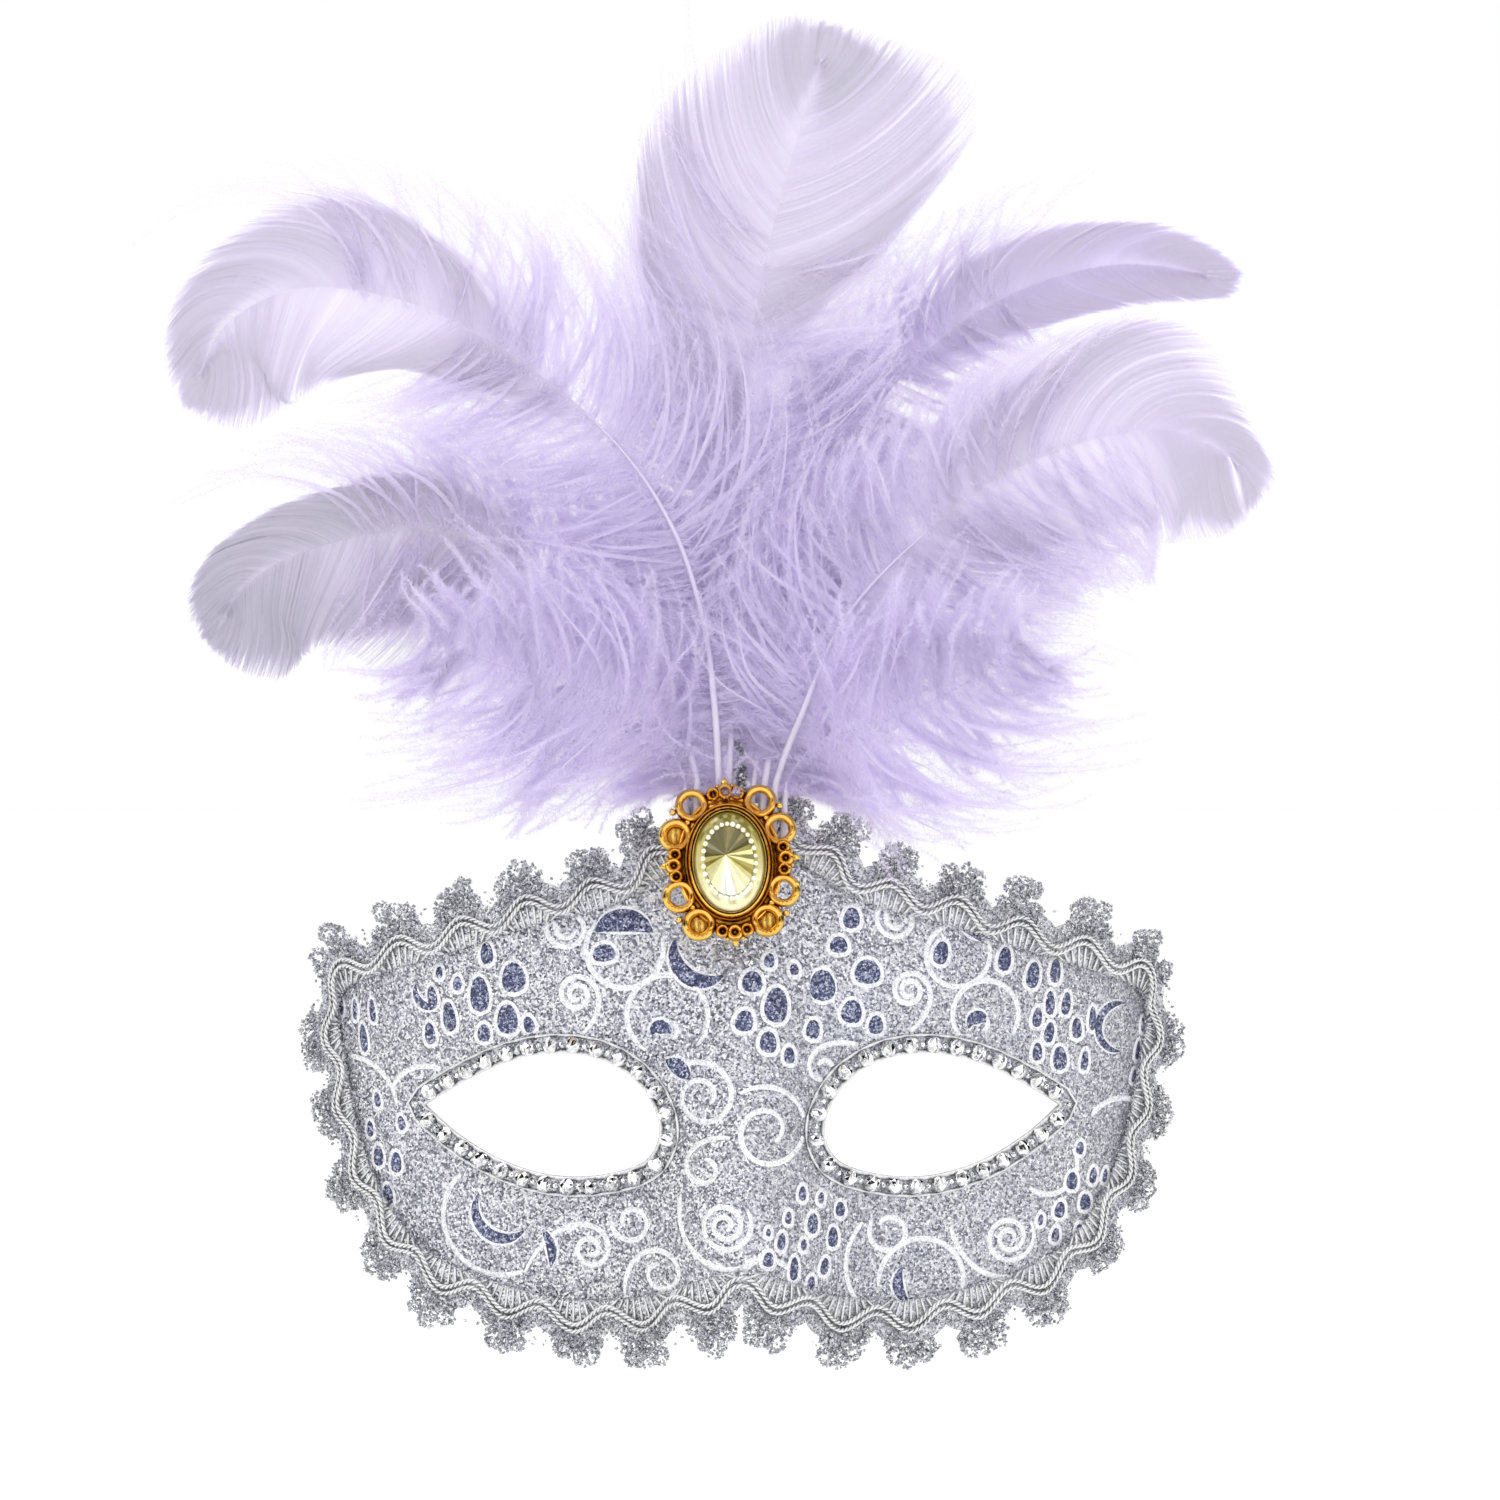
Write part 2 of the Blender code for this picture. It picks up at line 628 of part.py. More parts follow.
def build_quill(name):
    curve = bpy.data.curves.new(f"quill_{name}", "CURVE")
    curve.dimensions = "3D"
    curve.bevel_depth = QUILL_RADII[0] * MM
    curve.bevel_resolution = 1
    curve.use_fill_caps = True
    line = curve.splines.new("POLY")
    points, far = shaft(name)
    line.points.add(len(points) - 1)
    for place, point, gone in zip(line.points, points, far):
        place.co = (*(point * MM), 1.0)
        place.radius = 1.0 + (QUILL_RADII[1] / QUILL_RADII[0] - 1.0) * gone / far[-1]
    link(f"quill_{name}", curve, feather_quill())


def vane_frames(name):
    """Stations along the vane: share of the shaft, point, unit direction to the left, and the one behind."""
    points, far = shaft(name)
    start = (FAN_OUT[1] + 1.0) / far[-1]
    made = []
    for share in np.linspace(start, 1.0, VANE_STATIONS):
        at, ahead, behind = (Vector([np.interp(s * far[-1], far, [p[k] for p in points]) for k in range(3)])
                             for s in (share, min(share + 0.02, 1.0), share - 0.02))
        along = (ahead - behind).normalized()
        left = along.cross(Vector((0, 1, 0))).normalized()
        made.append((share, start, at, left, left.cross(along)))
    return made


def vane_half_width(name, share, start, side):
    """Half width of a vane at a share of the shaft, on its left (0) or right (1)."""
    near, far = PLUMES[name][3:5]
    body = near[side] + (far[side] - near[side]) * smooth_step(0.4, 0.75, share)
    opening = smooth_step(start - 0.08, start + 0.2, share)
    rounding = math.sqrt(max(1.0 - max((share - 0.8) / 0.2, 0.0) ** 2, 0.06))
    return body * opening * rounding


def build_vane(name):
    """The web of barbs, as one thin sheet just behind the quill. Its edges curl back a little."""
    columns = np.linspace(-1.0, 1.0, VANE_COLUMNS + 1)
    rings = []
    for share, start, point, left, behind in vane_frames(name):
        ring = []
        for side, run in ((-1, columns), (1, columns[::-1])):
            for u in run:
                width = vane_half_width(name, share, start, 0 if u < 0 else 1)
                lift = VANE_BEHIND_QUILL + side * VANE_THICKNESS / 2 + 0.025 * width * u * u
                ring.append(point - left * (u * width) + behind * lift)
        rings.append(ring)
    mesh_object(f"vane_{name}", lambda bm: ring_body(bm, rings, closed=False), feather_vane())


def build_tail():
    """The trimmed end of the braid, which stands up between the quills."""
    x = slot_x(TAIL_SLOT)
    rings = []
    for z, radius in TAIL_PROFILE:
        rings.append([(x + radius * math.cos(a), quill_row(z) + radius * 0.8 * math.sin(a), z)
                      for a in np.arange(8) * math.pi / 4])
    mesh_object("braid_tail", lambda bm: ring_body(bm, rings, closed=False), silver_yarn())


def main():
    clear_scene()
    outline, eyes = mask_cutters()
    build_shell(outline, eyes)
    build_fabric(outline, eyes)
    build_braid()
    build_bead_strings()
    build_brooch()
    build_glue()
    build_tail()
    for name in PLUMES:
        build_quill(name)
        build_vane(name)


main()
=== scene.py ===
"""Looks of the masquerade mask: cloth, print, braid, beads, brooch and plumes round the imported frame."""

import math
from collections import namedtuple

import bmesh
import bpy
import numpy as np
from mathutils import Matrix, Vector
from mathutils.geometry import delaunay_2d_cdt


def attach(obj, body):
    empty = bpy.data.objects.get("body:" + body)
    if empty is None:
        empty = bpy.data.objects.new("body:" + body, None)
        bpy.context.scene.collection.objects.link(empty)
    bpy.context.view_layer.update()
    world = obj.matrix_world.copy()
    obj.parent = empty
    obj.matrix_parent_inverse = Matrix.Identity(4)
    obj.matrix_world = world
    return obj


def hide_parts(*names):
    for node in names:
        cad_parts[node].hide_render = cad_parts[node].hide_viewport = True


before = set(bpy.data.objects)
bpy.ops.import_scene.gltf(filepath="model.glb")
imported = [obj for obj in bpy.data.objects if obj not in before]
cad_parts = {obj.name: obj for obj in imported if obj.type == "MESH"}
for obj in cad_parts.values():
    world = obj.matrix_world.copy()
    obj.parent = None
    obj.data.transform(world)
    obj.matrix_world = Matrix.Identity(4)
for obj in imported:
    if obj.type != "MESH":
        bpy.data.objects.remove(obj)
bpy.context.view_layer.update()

MM = 0.001
TURN = 2 * math.pi
random = np.random.default_rng(11)

# The face surface, in millimetres, as the solids have it.
FACE_RADIUS = 92.0
LEAN_RADIUS = 260.0
NOSE_HEIGHTS = (2.5, 17.5)
NOSE_ZS = (36.0, -32.0)
NOSE_HALF_WIDTHS = (10.0, 15.5)
SOCKET_DEPTH = 2.2
EYE_CENTRE_X = 36.0
SHELL_THICKNESS = 1.2
GAP = 0.3
FABRIC_THICKNESS = 0.45
TAPE_LIFT = 1.6
TAPE_THICKNESS = 0.7
CORD_LIFT = TAPE_LIFT + TAPE_THICKNESS + 0.35
FEATHER_CLEAR = 0.58             # share of a barb's light that passes through it

HALF_OUTLINE = [
    (0.0, 55.0), (7.0, 51.5), (14.5, 45.5), (24.0, 40.0), (37.0, 36.5), (52.0, 31.5), (66.0, 27.0),
    (74.0, 23.0), (75.8, 15.0), (74.3, 6.5), (71.8, -6.0), (67.0, -18.0), (58.0, -28.5),
    (44.0, -34.0), (29.0, -36.5), (16.0, -35.0), (7.0, -31.5), (0.0, -29.5),
]
EYE_OUTLINE = [
    (57.0, 0.5), (50.0, 4.8), (42.0, 8.6), (33.5, 10.4), (25.0, 9.4), (18.0, 5.0), (14.6, -2.0),
    (17.0, -8.0), (25.0, -10.9), (34.0, -11.2), (43.0, -8.8), (51.0, -4.4),
]
SCALLOPS = 32


# ---------------------------------------------------------------- curves and the face surface

def spline(points, steps, closed=False, corner=False):
    """Points on a Catmull-Rom curve. A closed one may keep a corner at its start."""
    given = [np.array(p, float) for p in points]
    count = len(given)
    made = []
    for i in range(count if closed else count - 1):
        start, end = given[i], given[(i + 1) % count]
        before = given[i - 1] if (closed or i) else 2 * start - end
        after = given[(i + 2) % count] if (closed or i + 2 < count) else 2 * end - start
        if corner and i == 0:
            before = start
        if corner and i == count - 1:
            after = end
        t = (np.arange(steps) / steps)[:, None]
        made.append(0.5 * (2 * start + (end - before) * t
                           + (2 * before - 5 * start + 4 * end - after) * t ** 2
                           + (3 * start - before - 3 * end + after) * t ** 3))
    if not closed:
        made.append(given[-1][None])
    return np.concatenate(made)


def travelled(points):
    steps = np.linalg.norm(np.diff(points, axis=0), axis=1)
    return np.concatenate([[0.0], np.cumsum(steps)])


def at_distances(points, distances):
    far = travelled(points)
    return np.stack([np.interp(distances, far, points[:, k]) for k in range(points.shape[1])], axis=1)


def resample(points, count, closed=False):
    """count points at equal distances along a run of points."""
    run = np.concatenate([points, points[:1]]) if closed else points
    at = np.linspace(0.0, travelled(run)[-1], count + 1 if closed else count)
    return at_distances(run, at[:-1] if closed else at)


def smooth_step(low, high, value):
    t = np.clip((value - low) / (high - low), 0.0, 1.0)
    return t * t * (3 - 2 * t)


def unit(vectors):
    return vectors / np.maximum(np.linalg.norm(vectors, axis=-1, keepdims=True), 1e-9)


def nose_height(z):
    low, high = NOSE_HEIGHTS
    return low + (high - low) * smooth_step(*NOSE_ZS, z)


def face_depth(x, z):
    """Depth of the shell's front surface."""
    wrap = FACE_RADIUS - np.sqrt(FACE_RADIUS ** 2 - np.minimum(np.abs(x), 86.0) ** 2)
    narrow, broad = NOSE_HALF_WIDTHS
    width = narrow + (broad - narrow) * smooth_step(*NOSE_ZS, z)
    nose = nose_height(z) * np.exp(-((x / width) ** 2))
    socket = SOCKET_DEPTH * np.exp(-(((np.abs(x) - EYE_CENTRE_X) / 22.0) ** 2) - (z / 14.0) ** 2)
    return wrap + z * z / (2 * LEAN_RADIUS) + socket - nose + nose_height(0.0) - SHELL_THICKNESS


def face_normal(x, z):
    step = 0.2
    slope_x = (face_depth(x + step, z) - face_depth(x - step, z)) / (2 * step)
    slope_z = (face_depth(x, z + step) - face_depth(x, z - step)) / (2 * step)
    return unit(np.stack([slope_x, -np.ones_like(slope_x), slope_z], axis=-1))


def on_face(flat, lift=0.0):
    """Points lifted off the shell's front surface along its normal. flat is (n, 2) of x and z."""
    x, z = flat[:, 0], flat[:, 1]
    lift = np.broadcast_to(lift, x.shape)
    return np.stack([x, face_depth(x, z) + lift / face_normal(x, z)[:, 1], z], axis=1)


def mask_outline(count):
    """The outline, clockwise seen from the front, from the top peak."""
    mirrored = [(-x, z) for x, z in HALF_OUTLINE[-2:0:-1]]
    return resample(spline(HALF_OUTLINE + mirrored, 16, closed=True), count, closed=True)


def eye_outline(side, count, grow=0.0):
    points = resample(spline(EYE_OUTLINE, 16, closed=True, corner=True), count, closed=True)
    along = np.roll(points, -1, axis=0) - np.roll(points, 1, axis=0)
    outward = unit(np.stack([along[:, 1], -along[:, 0]], axis=1))
    return (points + outward * grow) * (side, 1.0)


def inside(points, polygon):
    """Which points lie in a polygon."""
    found = np.zeros(len(points), bool)
    for a, b in zip(polygon, np.roll(polygon, -1, axis=0)):
        crosses = (a[1] > points[:, 1]) != (b[1] > points[:, 1])
        at = a[0] + (points[:, 1] - a[1]) * (b[0] - a[0]) / (b[1] - a[1] + 1e-12)
        found ^= crosses & (points[:, 0] < at)
    return found


# ---------------------------------------------------------------- mesh making

def ring_net(rows, sides, closed):
    """Quads between neighbouring rings of vertices. A closed body also joins its last ring to its first."""
    k, j = np.meshgrid(np.arange(rows if closed else rows - 1), np.arange(sides), indexing="ij")
    ahead, beside = (k + 1) % rows * sides, (j + 1) % sides
    return np.stack([k * sides + j, k * sides + beside, ahead + beside, ahead + j], axis=-1).reshape(-1, 4)


def round_trip(points, step=1):
    """Unit directions along a closed run of points."""
    return unit(np.roll(points, -step, axis=0) - np.roll(points, step, axis=0))


class Heap:
    """Vertices, in millimetres, and faces gathered for one object, with one tone for each vertex."""

    def __init__(self):
        self.verts, self.tones, self.faces, self.count = [], [], [], 0

    def add(self, verts, *face_sets, tone=0.5):
        verts = np.asarray(verts, float).reshape(-1, 3)
        self.verts.append(verts)
        self.tones.append(np.broadcast_to(tone, len(verts)))
        for faces in face_sets:
            self.faces.append(np.asarray(faces, int) + self.count)
        self.count += len(verts)

    def rings(self, rings, closed=False, tone=0.5):
        """A body through rings of equal count, (rows, sides, 3). An open one is capped."""
        rings = np.asarray(rings, float)
        rows, sides = rings.shape[:2]
        one = np.arange(sides)[None]
        caps = [] if closed else [one[:, ::-1], (rows - 1) * sides + one]
        self.add(rings.reshape(-1, 3), ring_net(rows, sides, closed), *caps, tone=tone)

    def tube(self, points, radius, up=(0.0, 0.0, 1.0), sides=6, closed=False, squash=1.0, tone=0.5,
             phase=0.0):
        """A round bar along points. squash flattens it along up."""
        points = np.asarray(points, float)
        count = len(points)
        along = round_trip(points) if closed else unit(np.gradient(points, axis=0))
        across = unit(np.cross(along, np.broadcast_to(up, points.shape)))
        rise = np.cross(across, along)
        radius = np.broadcast_to(radius, count)[:, None, None]
        turn = (np.arange(sides) * TURN / sides + phase)[None, :, None]
        ring = across[:, None] * np.cos(turn) + rise[:, None] * np.sin(turn) * squash
        tones = np.repeat(np.broadcast_to(tone, count), sides)
        self.rings(points[:, None] + ring * radius, closed, tone=tones)

    def build(self, name, look, sharp=None):
        verts = np.concatenate(self.verts) * MM
        sizes = np.concatenate([np.full(len(f), f.shape[1]) for f in self.faces])
        loops = np.concatenate([f.ravel() for f in self.faces])
        mesh = bpy.data.meshes.new(name)
        mesh.vertices.add(len(verts))
        mesh.vertices.foreach_set("co", verts.astype(np.float32).ravel())
        mesh.loops.add(len(loops))
        mesh.loops.foreach_set("vertex_index", loops.astype(np.int32))
        mesh.polygons.add(len(sizes))
        starts = np.concatenate([[0], np.cumsum(sizes)[:-1]])
        mesh.polygons.foreach_set("loop_start", starts.astype(np.int32))
        mesh.polygons.foreach_set("use_smooth", np.ones(len(sizes), bool))
        tones = mesh.attributes.new("tone", "FLOAT", "POINT")
        tones.data.foreach_set("value", np.concatenate(self.tones).astype(np.float32))
        mesh.update(calc_edges=True)
        if sharp is not None:
            mesh.set_sharp_from_angle(angle=math.radians(sharp))
        mesh.materials.append(look)
        obj = bpy.data.objects.new(name, mesh)
        bpy.context.scene.collection.objects.link(obj)
        return obj


def finish_piece(obj, slot, *nodes):
    """Says what a piece rides on, the root, and hides the nodes that it stands for. slot is not used."""
    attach(obj, "root")
    if nodes:
        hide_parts(*nodes)


# ---------------------------------------------------------------- materials

def node(tree, kind, inputs=None, **settings):
    made = tree.nodes.new("ShaderNode" + kind)
    for key, value in settings.items():
        setattr(made, key, value)
    for key, value in (inputs or {}).items():
        if isinstance(value, bpy.types.NodeSocket):
            tree.links.new(value, made.inputs[key])
        else:
            made.inputs[key].default_value = value
    return made


def ramp(tree, factor, stops):
    """A colour ramp. stops are (place, colour) with a colour of three numbers."""
    made = node(tree, "ValToRGB", {"Fac": factor})
    band = made.color_ramp
    while len(band.elements) < len(stops):
        band.elements.new(0.5)
    for element, (place, colour) in zip(band.elements, stops):
        element.position = place
        element.color = (*colour, 1.0)
    return made.outputs["Color"]


def noise(tree, place, scale, detail):
    return node(tree, "TexNoise", {"Vector": place, "Scale": scale, "Detail": detail}).outputs["Fac"]


def spread_of(tree, value, low, high):
    return node(tree, "MapRange", {"Value": value, "To Min": low, "To Max": high}).outputs["Result"]


def vector_math(tree, operation, first, second=None, **inputs):
    given = {0: first} if second is None else {0: first, 1: second}
    return node(tree, "VectorMath", {**given, **inputs}, operation=operation).outputs[0]


class Look:
    """A material being made: its node tree, its shader and the object's own coordinates."""

    def __init__(self, name):
        self.material = bpy.data.materials.new(name)
        self.material.use_nodes = True
        self.tree = self.material.node_tree
        self.shader = self.tree.nodes["Principled BSDF"]
        self.place = node(self.tree, "TexCoord").outputs["Object"]

    def link(self, output, socket):
        self.tree.links.new(output, self.shader.inputs[socket])

    def settings(self, **values):
        for key, value in values.items():
            self.shader.inputs[key.replace("_", " ")].default_value = value


def clouded(name, cloud, stops, rough=None, base=None, spread=0.0, bump=None, **settings):
    """A look whose colour and roughness follow one noise: (look, colour).

    cloud is the noise's scale and detail. Where there is a base, the noise only shifts it, by up to spread:
    base is "tone" for the vertices' tone, or (distance, power) for painted shade from ambient occlusion,
    which darkens a place the less open to the air it is. bump is (scale, detail, strength, distance), and
    with a scale of None it takes the same noise.
    """
    look = Look(name)
    tree = look.tree
    shade = noise(tree, look.place, *cloud)
    value = shade
    if base:
        if base == "tone":
            start = node(tree, "Attribute", attribute_name="tone").outputs["Fac"]
        else:
            # Painted shade: ambient occlusion darkens the colour in crevices and hollows.
            painted_shade_ao = node(tree, "AmbientOcclusion", {"Distance": base[0]}, samples=6).outputs["AO"]
            start = node(tree, "Math", {0: painted_shade_ao, 1: base[1]}, operation="POWER").outputs["Value"]
        shift = spread_of(tree, shade, -spread, spread)
        value = node(tree, "Math", {0: start, 1: shift}, operation="ADD").outputs["Value"]
    colour = ramp(tree, value, stops)
    look.link(colour, "Base Color")
    if rough:
        look.link(spread_of(tree, shade, *rough), "Roughness")
    if bump:
        scale, detail, strength, distance = bump
        height = noise(tree, look.place, scale, detail) if scale else shade
        raised = node(tree, "Bump", {"Height": height, "Strength": strength, "Distance": distance})
        look.link(raised.outputs["Normal"], "Normal")
    look.settings(**settings)
    return look, colour


def glitter(name, darks, mids, lights, flake=0.36, metallic=0.55, tilt=0.9, share=(0.25, 0.62, 0.9)):
    """Cloth or yarn covered in glitter flakes: every flake has its own tint and its own tilt."""
    look = Look(name)
    tree, place = look.tree, look.place
    cells = node(tree, "TexVoronoi", {"Vector": place, "Scale": 1000.0 / flake}).outputs["Color"]
    fine = node(tree, "TexVoronoi", {"Vector": place, "Scale": 2100.0 / flake}).outputs["Color"]
    parts = node(tree, "SeparateColor", {"Color": cells})
    more = node(tree, "SeparateColor", {"Color": fine})
    both = node(tree, "Mix", {"Factor": 0.35, "A": parts.outputs["Red"], "B": more.outputs["Green"]},
                data_type="FLOAT")
    colour = ramp(tree, both.outputs["Result"], list(zip(share, (darks, mids, lights))))
    drift = noise(tree, place, 60.0, 3.0)
    soft = node(tree, "Mix", {"Factor": drift, "A": (0.86, 0.88, 0.94, 1), "B": (1.0, 0.98, 0.95, 1)},
                data_type="RGBA", blend_type="MIX")
    tinted = node(tree, "Mix", {"Factor": 1.0, "A": colour, "B": soft.outputs["Result"]},
                  data_type="RGBA", blend_type="MULTIPLY")
    look.link(tinted.outputs["Result"], "Base Color")
    centred = vector_math(tree, "SUBTRACT", cells, (0.5, 0.5, 0.5))
    leaning = vector_math(tree, "SCALE", centred, Scale=tilt)
    normal = node(tree, "NewGeometry").outputs["Normal"]
    look.link(vector_math(tree, "NORMALIZE", vector_math(tree, "ADD", normal, leaning)), "Normal")
    look.link(spread_of(tree, parts.outputs["Blue"], 0.2, 0.55), "Roughness")
    look.settings(Metallic=metallic)
    return look.material


def shell_plastic():
    """Moulded white plastic with a faint grain."""
    return clouded("shell_plastic", (45.0, 5.0), [(0.3, (0.80, 0.80, 0.77)), (0.7, (0.88, 0.88, 0.86))],
                   rough=(0.38, 0.52), bump=(900.0, 3.0, 0.25, 0.0002),
                   Coat_Weight=0.15, Coat_Roughness=0.4)[0].material


def smooth_cord():
    """Twisted rayon cord: silver-white with a soft shine, and painted shade from ambient occlusion, dark
    between its plies.
    """
    # The ramp's dark stop is painted shade, reached in the hollows between plies; the noise adds random tone.
    return clouded("smooth_cord", (420.0, 2.0),
                   [(0.25, (0.08, 0.08, 0.09)), (0.6, (0.46, 0.46, 0.48)), (0.9, (0.86, 0.86, 0.86))],
                   rough=(0.28, 0.42), base=(0.0012, 1.0), spread=0.35, bump=(3000.0, 2.0, 0.4, 0.0001),
                   Metallic=0.35, Sheen_Weight=0.3, Sheen_Roughness=0.4)[0].material


def mirror_bead():
    """Mirror plating on plastic beads, with a cloudy polish."""
    return clouded("mirror_bead", (1100.0, 4.0), [(0.35, (0.55, 0.55, 0.56)), (0.6, (0.98, 0.98, 0.98))],
                   rough=(0.02, 0.07), bump=(2600.0, 2.0, 0.12, 0.0001), Metallic=1.0)[0].material


def brooch_gold():
    """Cast gilt metal: yellow on the crests, with painted shade from ambient occlusion, brown to near black,
    in the crevices.
    """
    # The dark brown stops are painted shade, reached where ambient occlusion finds a crevice.
    return clouded("brooch_gold", (420.0, 4.0),
                   [(0.1, (0.05, 0.016, 0.003)), (0.4, (0.34, 0.14, 0.022)),
                    (0.75, (0.64, 0.31, 0.045)), (1.0, (0.90, 0.57, 0.13))],
                   rough=(0.10, 0.24), base=(0.0010, 1.3), spread=0.22, bump=(2600.0, 2.0, 0.12, 0.0001),
                   Metallic=1.0)[0].material


def gem_stone():
    """Foil-backed acrylic whose light is painted through the vertex tone: dark olive as painted shade, pale
    yellow between, near white as painted highlight.
    """
    return clouded("gem_stone", (500.0, 3.0),
                   [(0.10, (0.10, 0.08, 0.006)), (0.42, (0.46, 0.39, 0.08)),
                    (0.7, (0.84, 0.80, 0.46)), (0.95, (1.0, 0.99, 0.86))],
                   rough=(0.05, 0.2), base="tone", spread=0.15,
                   Metallic=0.3, Coat_Weight=1.0, Coat_Roughness=0.02)[0].material


def hot_glue():
    """Set hot glue: cloudy, waxy and uneven."""
    return clouded("hot_glue", (180.0, 3.0), [(0.3, (0.70, 0.66, 0.56)), (0.7, (0.86, 0.84, 0.78))],
                   rough=(0.25, 0.4), bump=(None, None, 0.4, 0.0006),
                   Subsurface_Weight=0.3, Subsurface_Scale=0.002)[0].material


def feather_web():
    """Dyed barbs: soft, matt and partly see-through to light, deeper in tone near the quill. The grey at the
    far end of the tone is painted shade.
    """
    # grey is painted shade, which a plume's dress shifts its vane towards.
    deep, pale, grey = (0.875, 0.82, 0.975), (0.865, 0.835, 0.915), (0.66, 0.63, 0.73)
    middle = tuple((a + b) / 2 for a, b in zip(deep, pale))
    stops = [(0.0, deep), (0.35, middle), (0.65, pale), (1.0, grey)]
    look, colour = clouded("feather_web", (55.0, 4.0), stops, rough=(0.6, 0.8), base="tone", spread=0.15,
                           Sheen_Weight=0.25, Sheen_Roughness=0.5, Specular_IOR_Level=0.3)
    lit = node(look.tree, "BsdfTranslucent", {"Color": colour})
    mix = node(look.tree, "MixShader", {0: FEATHER_CLEAR, 1: look.shader.outputs[0], 2: lit.outputs[0]})
    look.tree.links.new(mix.outputs[0], look.tree.nodes["Material Output"].inputs["Surface"])
    return look.material


def quill_horn():
    """Satin horn with fine streaks, a little deeper towards its tip."""
    return clouded("quill_horn", (300.0, 3.0),
                   [(0.0, (0.72, 0.69, 0.77)), (0.25, (0.66, 0.61, 0.78)), (0.6, (0.60, 0.55, 0.73))],
                   rough=(0.32, 0.5), base="tone", spread=0.2, bump=(None, None, 0.2, 0.0002),
                   Specular_IOR_Level=0.5)[0].material


# ---------------------------------------------------------------- shell and cloth

def face_mesh(spacing):
    """A fine net over the mask's outline less its eye openings: (points, triangles)."""
    outline = mask_outline(420)
    eyes = [eye_outline(side, 150) for side in (-1, 1)]
    xs, zs = np.meshgrid(np.arange(-78, 78, spacing), np.arange(-38, 57, spacing * 0.87))
    xs = xs + (np.arange(len(xs)) % 2 * spacing / 2)[:, None]
    grid = np.stack([xs.ravel(), zs.ravel()], axis=1)
    rims = np.concatenate([outline] + eyes)
    nearest = np.min(np.linalg.norm(grid[:, None] - rims[None], axis=2), axis=1)
    keep = inside(grid, outline) & (nearest > spacing * 0.55)
    for eye in eyes:
        keep &= ~inside(grid, eye)
    points, edges, start = [], [], 0
    for rim in [outline] + eyes:
        order = np.arange(len(rim)) + start
        edges += list(zip(order.tolist(), np.roll(order, -1).tolist()))
        points.append(rim)
        start += len(rim)
    points = np.concatenate(points + [grid[keep]])
    made = delaunay_2d_cdt([Vector(p) for p in points], edges, [], 0, 1e-6)
    points = np.array([tuple(v) for v in made[0]])
    triangles = np.array([f for f in made[2] if len(f) == 3])
    middle = points[triangles].mean(axis=1)
    keep = inside(middle, outline)
    for eye in eyes:
        keep &= ~inside(middle, eye)
    triangles = triangles[keep]
    a, b, c = (points[triangles[:, k]] for k in range(3))
    turns = (b[:, 0] - a[:, 0]) * (c[:, 1] - a[:, 1]) - (b[:, 1] - a[:, 1]) * (c[:, 0] - a[:, 0])
    triangles[turns < 0] = triangles[turns < 0][:, ::-1]
    return points, triangles


def thin_body(heap, points, triangles, low, high):
    """A closed sheet between two heights off the face surface."""
    count = len(points)
    edges = np.concatenate([triangles[:, [0, 1]], triangles[:, [1, 2]], triangles[:, [2, 0]]])
    known = {tuple(e) for e in edges.tolist()}
    rim = np.array([e for e in known if (e[1], e[0]) not in known])
    walls = np.stack([rim[:, 1], rim[:, 0], rim[:, 0] + count, rim[:, 1] + count], axis=1)
    heap.add(np.concatenate([on_face(points, high), on_face(points, low)]),
             triangles, triangles[:, ::-1] + count, walls)


LAND_SIZE = (7.0, 1.6, 12.0)
LAND_PLACE = np.array([[69.5, 8.0]])
LAND_STANDS_PROUD = 0.8
STRAP_HOLE_RADIUS = 1.5
STRAP_HOLE_DROP = 3.5


def temple_frame(side):
    place = LAND_PLACE * (side, 1)
    inward = Vector(-face_normal(place[:, 0], place[:, 1])[0])
    up = (Vector((0, 0, 1)) - inward * inward.z).normalized()
    axes = Matrix((up.cross(inward), inward, up)).transposed().to_4x4()
    return Matrix.Translation(Vector(on_face(place, -SHELL_THICKNESS)[0]) * MM) @ axes


def cut_or_join(obj, operation, fill):
    """A Boolean with a body made by fill in a bmesh, applied at once."""
    bm = bmesh.new()
    fill(bm)
    mesh = bpy.data.meshes.new("tool")
    bm.to_mesh(mesh)
    bm.free()
    other = bpy.data.objects.new("tool", mesh)
    bpy.context.scene.collection.objects.link(other)
    modifier = obj.modifiers.new("boolean", "BOOLEAN")
    modifier.object, modifier.operation, modifier.solver = other, operation, "EXACT"
    bpy.context.view_layer.update()
    done = bpy.data.meshes.new_from_object(obj.evaluated_get(bpy.context.evaluated_depsgraph_get()))
    obj.modifiers.clear()
    obj.data = done
    bpy.data.objects.remove(other)


